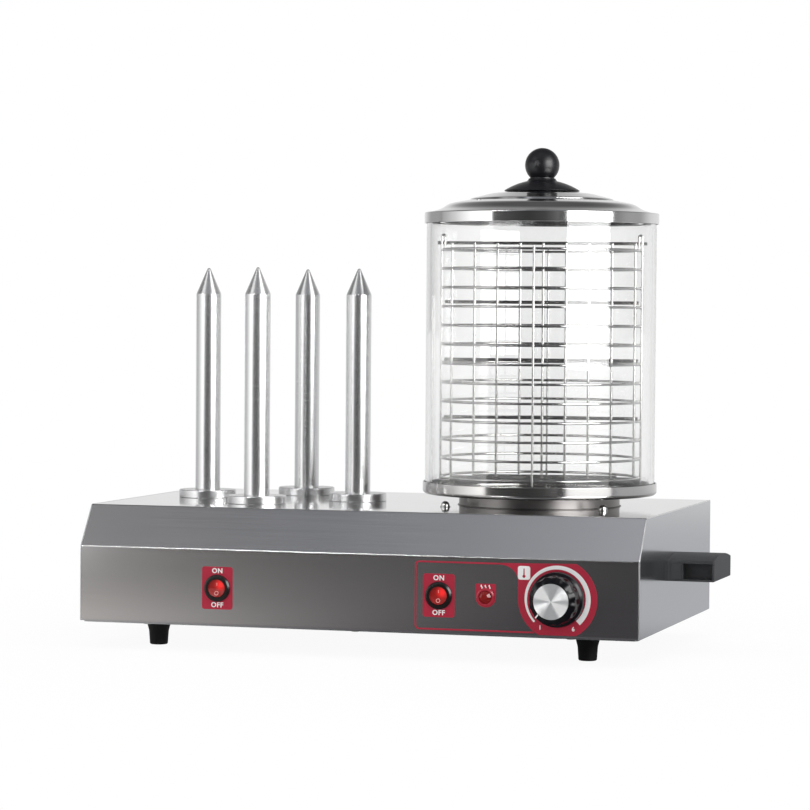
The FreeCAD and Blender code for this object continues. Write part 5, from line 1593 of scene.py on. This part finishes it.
def build_floor():
    """Pale floor that fades into the white room and keeps the shadow; metal sees it grey in front."""
    colour = rgba(settings("studio").floor_colour)

    def shade(graph):
        x = graph.axis(graph.coordinates(), "X")
        y = graph.axis(graph.coordinates(), "Y")
        far = graph.size_of(graph.coordinates((1, 1, 0)))
        fade = graph.swept(far, 0.30, 0.75, 0.94, 1.0)
        near = graph.swept(y, -0.64, -0.40)
        lift = 0.93 + near * graph.swept(x, 0.0, -0.25, 0.25, 1.5)
        front = graph.scaled(graph.levels(x, FLOOR_IN_FRONT), lift)
        back = graph.blend(graph.swept(y, 1.2, 2.8), rgba(FLOOR_FAR_BACK), rgba(FLOOR_AT_BACK))
        mirrored = graph.blend(graph.swept(y, -0.30, 0.30), front, back)
        eye, mirror = rays(graph)
        white = graph.glow(graph.blend(mirror, WHITE_LIGHT, mirrored))
        plain = graph.node("ShaderNodeBsdfDiffuse", None, {"Color": colour})
        lit = graph.maths("MAXIMUM", fade * eye, mirror)
        graph.end(graph.node("ShaderNodeMixShader", None, {0: lit, 1: plain, 2: white}))

    reach = 25.0
    corners = [(-reach, -reach, 0), (reach, -reach, 0), (reach, reach, 0), (-reach, reach, 0)]
    floor = flat_face("floor", corners, shade)


def softbox(name, centre, target, wide, high, radiance, mirrored):
    """An area lamp that faces a point: either only metal and glass see it, or only plain surfaces."""
    lamp = bpy.data.lights.new(name, "AREA")
    lamp.shape = "RECTANGLE"
    lamp.size = wide
    lamp.size_y = high
    lamp.energy = radiance * math.pi * wide * high
    made = linked(name, lamp)
    made.location = centre
    made.rotation_euler = (Vector(target) - Vector(centre)).to_track_quat("-Z", "Y").to_euler()
    made.visible_camera = False
    made.visible_transmission = mirrored
    made.visible_diffuse = not mirrored
    made.visible_glossy = mirrored


def build_camera():
    """Camera in front of the right half, low, looking to the left and slightly down."""
    s = settings("studio")
    heading, pitch, roll = s.camera_heading, s.camera_pitch, s.camera_roll
    ahead = Vector((-math.sin(heading) * math.cos(pitch), math.cos(heading) * math.cos(pitch),
                    -math.sin(pitch)))
    right = Vector((math.cos(heading), math.sin(heading), 0))
    up = right.cross(ahead)
    leaned_right = right * math.cos(roll) + up * math.sin(roll)
    leaned_up = up * math.cos(roll) - right * math.sin(roll)
    lens = bpy.data.cameras.new("camera")
    lens.sensor_width = 36.0
    lens.lens = s.focal_mm
    made = linked("camera", lens)
    axes = Matrix((leaned_right, leaned_up, -ahead)).transposed().to_4x4()
    made.matrix_world = Matrix.Translation(Vector(s.camera_place)) @ axes
    bpy.context.scene.camera = made


def build_studio():
    """World, floor, cards, camera and softboxes."""
    bpy.context.scene.view_settings.view_transform = "Standard"
    studio_world()
    build_floor()
    for name, card in CARDS.items():
        upright_card(name, **card)
    build_camera()
    softbox("key_strip", centre=(1.17, -0.57, 0.67), target=(0.119, 0.013, 0.67), wide=0.99,
            high=0.90, radiance=9.0, mirrored=True)
    softbox("top_light", centre=(0.1, -0.3, 1.9), target=(0.0, 0.0, 0.1), wide=1.8, high=1.6,
            radiance=1.0, mirrored=False)


# ---------------------------------------------------------------- operators
class StepOperator:
    """What every step of the build shares."""
    bl_options = {"REGISTER", "UNDO"}

    def execute(self, context):
        """Run the step."""
        type(self).step()
        return {"FINISHED"}


class WARMER_OT_studio(StepOperator, bpy.types.Operator):
    """Set up the camera, floor and lights"""
    bl_idname = "warmer.studio"
    bl_label = "Studio"
    step = staticmethod(build_studio)


class WARMER_OT_housing(StepOperator, bpy.types.Operator):
    """Finish the folded housing, end panels and base plate"""
    bl_idname = "warmer.housing"
    bl_label = "Housing"
    step = staticmethod(build_housing)


class WARMER_OT_labels(StepOperator, bpy.types.Operator):
    """Print the red labels and their marks"""
    bl_idname = "warmer.labels"
    bl_label = "Labels"
    step = staticmethod(build_labels)


class WARMER_OT_handles(StepOperator, bpy.types.Operator):
    """Mould the side handles"""
    bl_idname = "warmer.handles"
    bl_label = "Handles"
    step = staticmethod(build_handles)


class WARMER_OT_feet(StepOperator, bpy.types.Operator):
    """Mould the rubber feet"""
    bl_idname = "warmer.feet"
    bl_label = "Feet"
    step = staticmethod(build_feet)


class WARMER_OT_spikes(StepOperator, bpy.types.Operator):
    """Turn the toasting spikes and their discs"""
    bl_idname = "warmer.spikes"
    bl_label = "Spikes"
    step = staticmethod(build_spikes)


class WARMER_OT_steamer(StepOperator, bpy.types.Operator):
    """Make the collar, water pan, glass tube and dome screws"""
    bl_idname = "warmer.steamer"
    bl_label = "Steam cylinder"
    step = staticmethod(build_steamer)


class WARMER_OT_basket(StepOperator, bpy.types.Operator):
    """Bend and weld the wire basket"""
    bl_idname = "warmer.basket"
    bl_label = "Basket"
    step = staticmethod(build_basket)


class WARMER_OT_lid(StepOperator, bpy.types.Operator):
    """Press the lid and add its ring and ball knob"""
    bl_idname = "warmer.lid"
    bl_label = "Lid"
    step = staticmethod(build_lid)


class WARMER_OT_switches(StepOperator, bpy.types.Operator):
    """Make the rocker switches"""
    bl_idname = "warmer.switches"
    bl_label = "Switches"
    step = staticmethod(build_switches)


class WARMER_OT_lamp(StepOperator, bpy.types.Operator):
    """Make the indicator lamp"""
    bl_idname = "warmer.lamp"
    bl_label = "Lamp"
    step = staticmethod(build_lamp)


class WARMER_OT_thermostat_knob(StepOperator, bpy.types.Operator):
    """Make the thermostat knob, its disc and pointer"""
    bl_idname = "warmer.thermostat_knob"
    bl_label = "Thermostat knob"
    step = staticmethod(build_thermostat_knob)


class WARMER_OT_fasteners(StepOperator, bpy.types.Operator):
    """Finish the screws, nuts and washers"""
    bl_idname = "warmer.fasteners"
    bl_label = "Fasteners"
    step = staticmethod(build_fasteners)


class WARMER_OT_inner_pieces(StepOperator, bpy.types.Operator):
    """Finish the heaters, thermostat, wiring pieces and gland"""
    bl_idname = "warmer.inner_pieces"
    bl_label = "Inner pieces"
    step = staticmethod(build_inner_pieces)


STEPS = (
    WARMER_OT_studio, WARMER_OT_housing, WARMER_OT_labels, WARMER_OT_handles, WARMER_OT_feet,
    WARMER_OT_spikes, WARMER_OT_steamer, WARMER_OT_basket, WARMER_OT_lid, WARMER_OT_switches,
    WARMER_OT_lamp, WARMER_OT_thermostat_knob, WARMER_OT_fasteners, WARMER_OT_inner_pieces,
)


class WARMER_PT_steps(bpy.types.Panel):
    """The steps of the build, in order."""
    bl_label = "Hot Dog Warmer"
    bl_idname = "WARMER_PT_steps"
    bl_space_type = "VIEW_3D"
    bl_region_type = "UI"
    bl_category = "Warmer"

    def draw(self, context):
        """A button for each step."""
        for step in STEPS:
            self.layout.operator(step.bl_idname)


def register():
    """Register the settings, steps and panel."""
    for name, group in SETTINGS.items():
        bpy.utils.register_class(group)
        setattr(bpy.types.Scene, name, PointerProperty(type=group))
    for step in STEPS:
        bpy.utils.register_class(step)
    bpy.utils.register_class(WARMER_PT_steps)


def unregister():
    """Undo register."""
    bpy.utils.unregister_class(WARMER_PT_steps)
    for step in reversed(STEPS):
        bpy.utils.unregister_class(step)
    for name, group in SETTINGS.items():
        delattr(bpy.types.Scene, name)
        bpy.utils.unregister_class(group)


def main():
    """Build everything."""
    register()
    for step in STEPS:
        family, name = step.bl_idname.split(".")
        getattr(getattr(bpy.ops, family), name)()


if __name__ == "__main__":
    main()
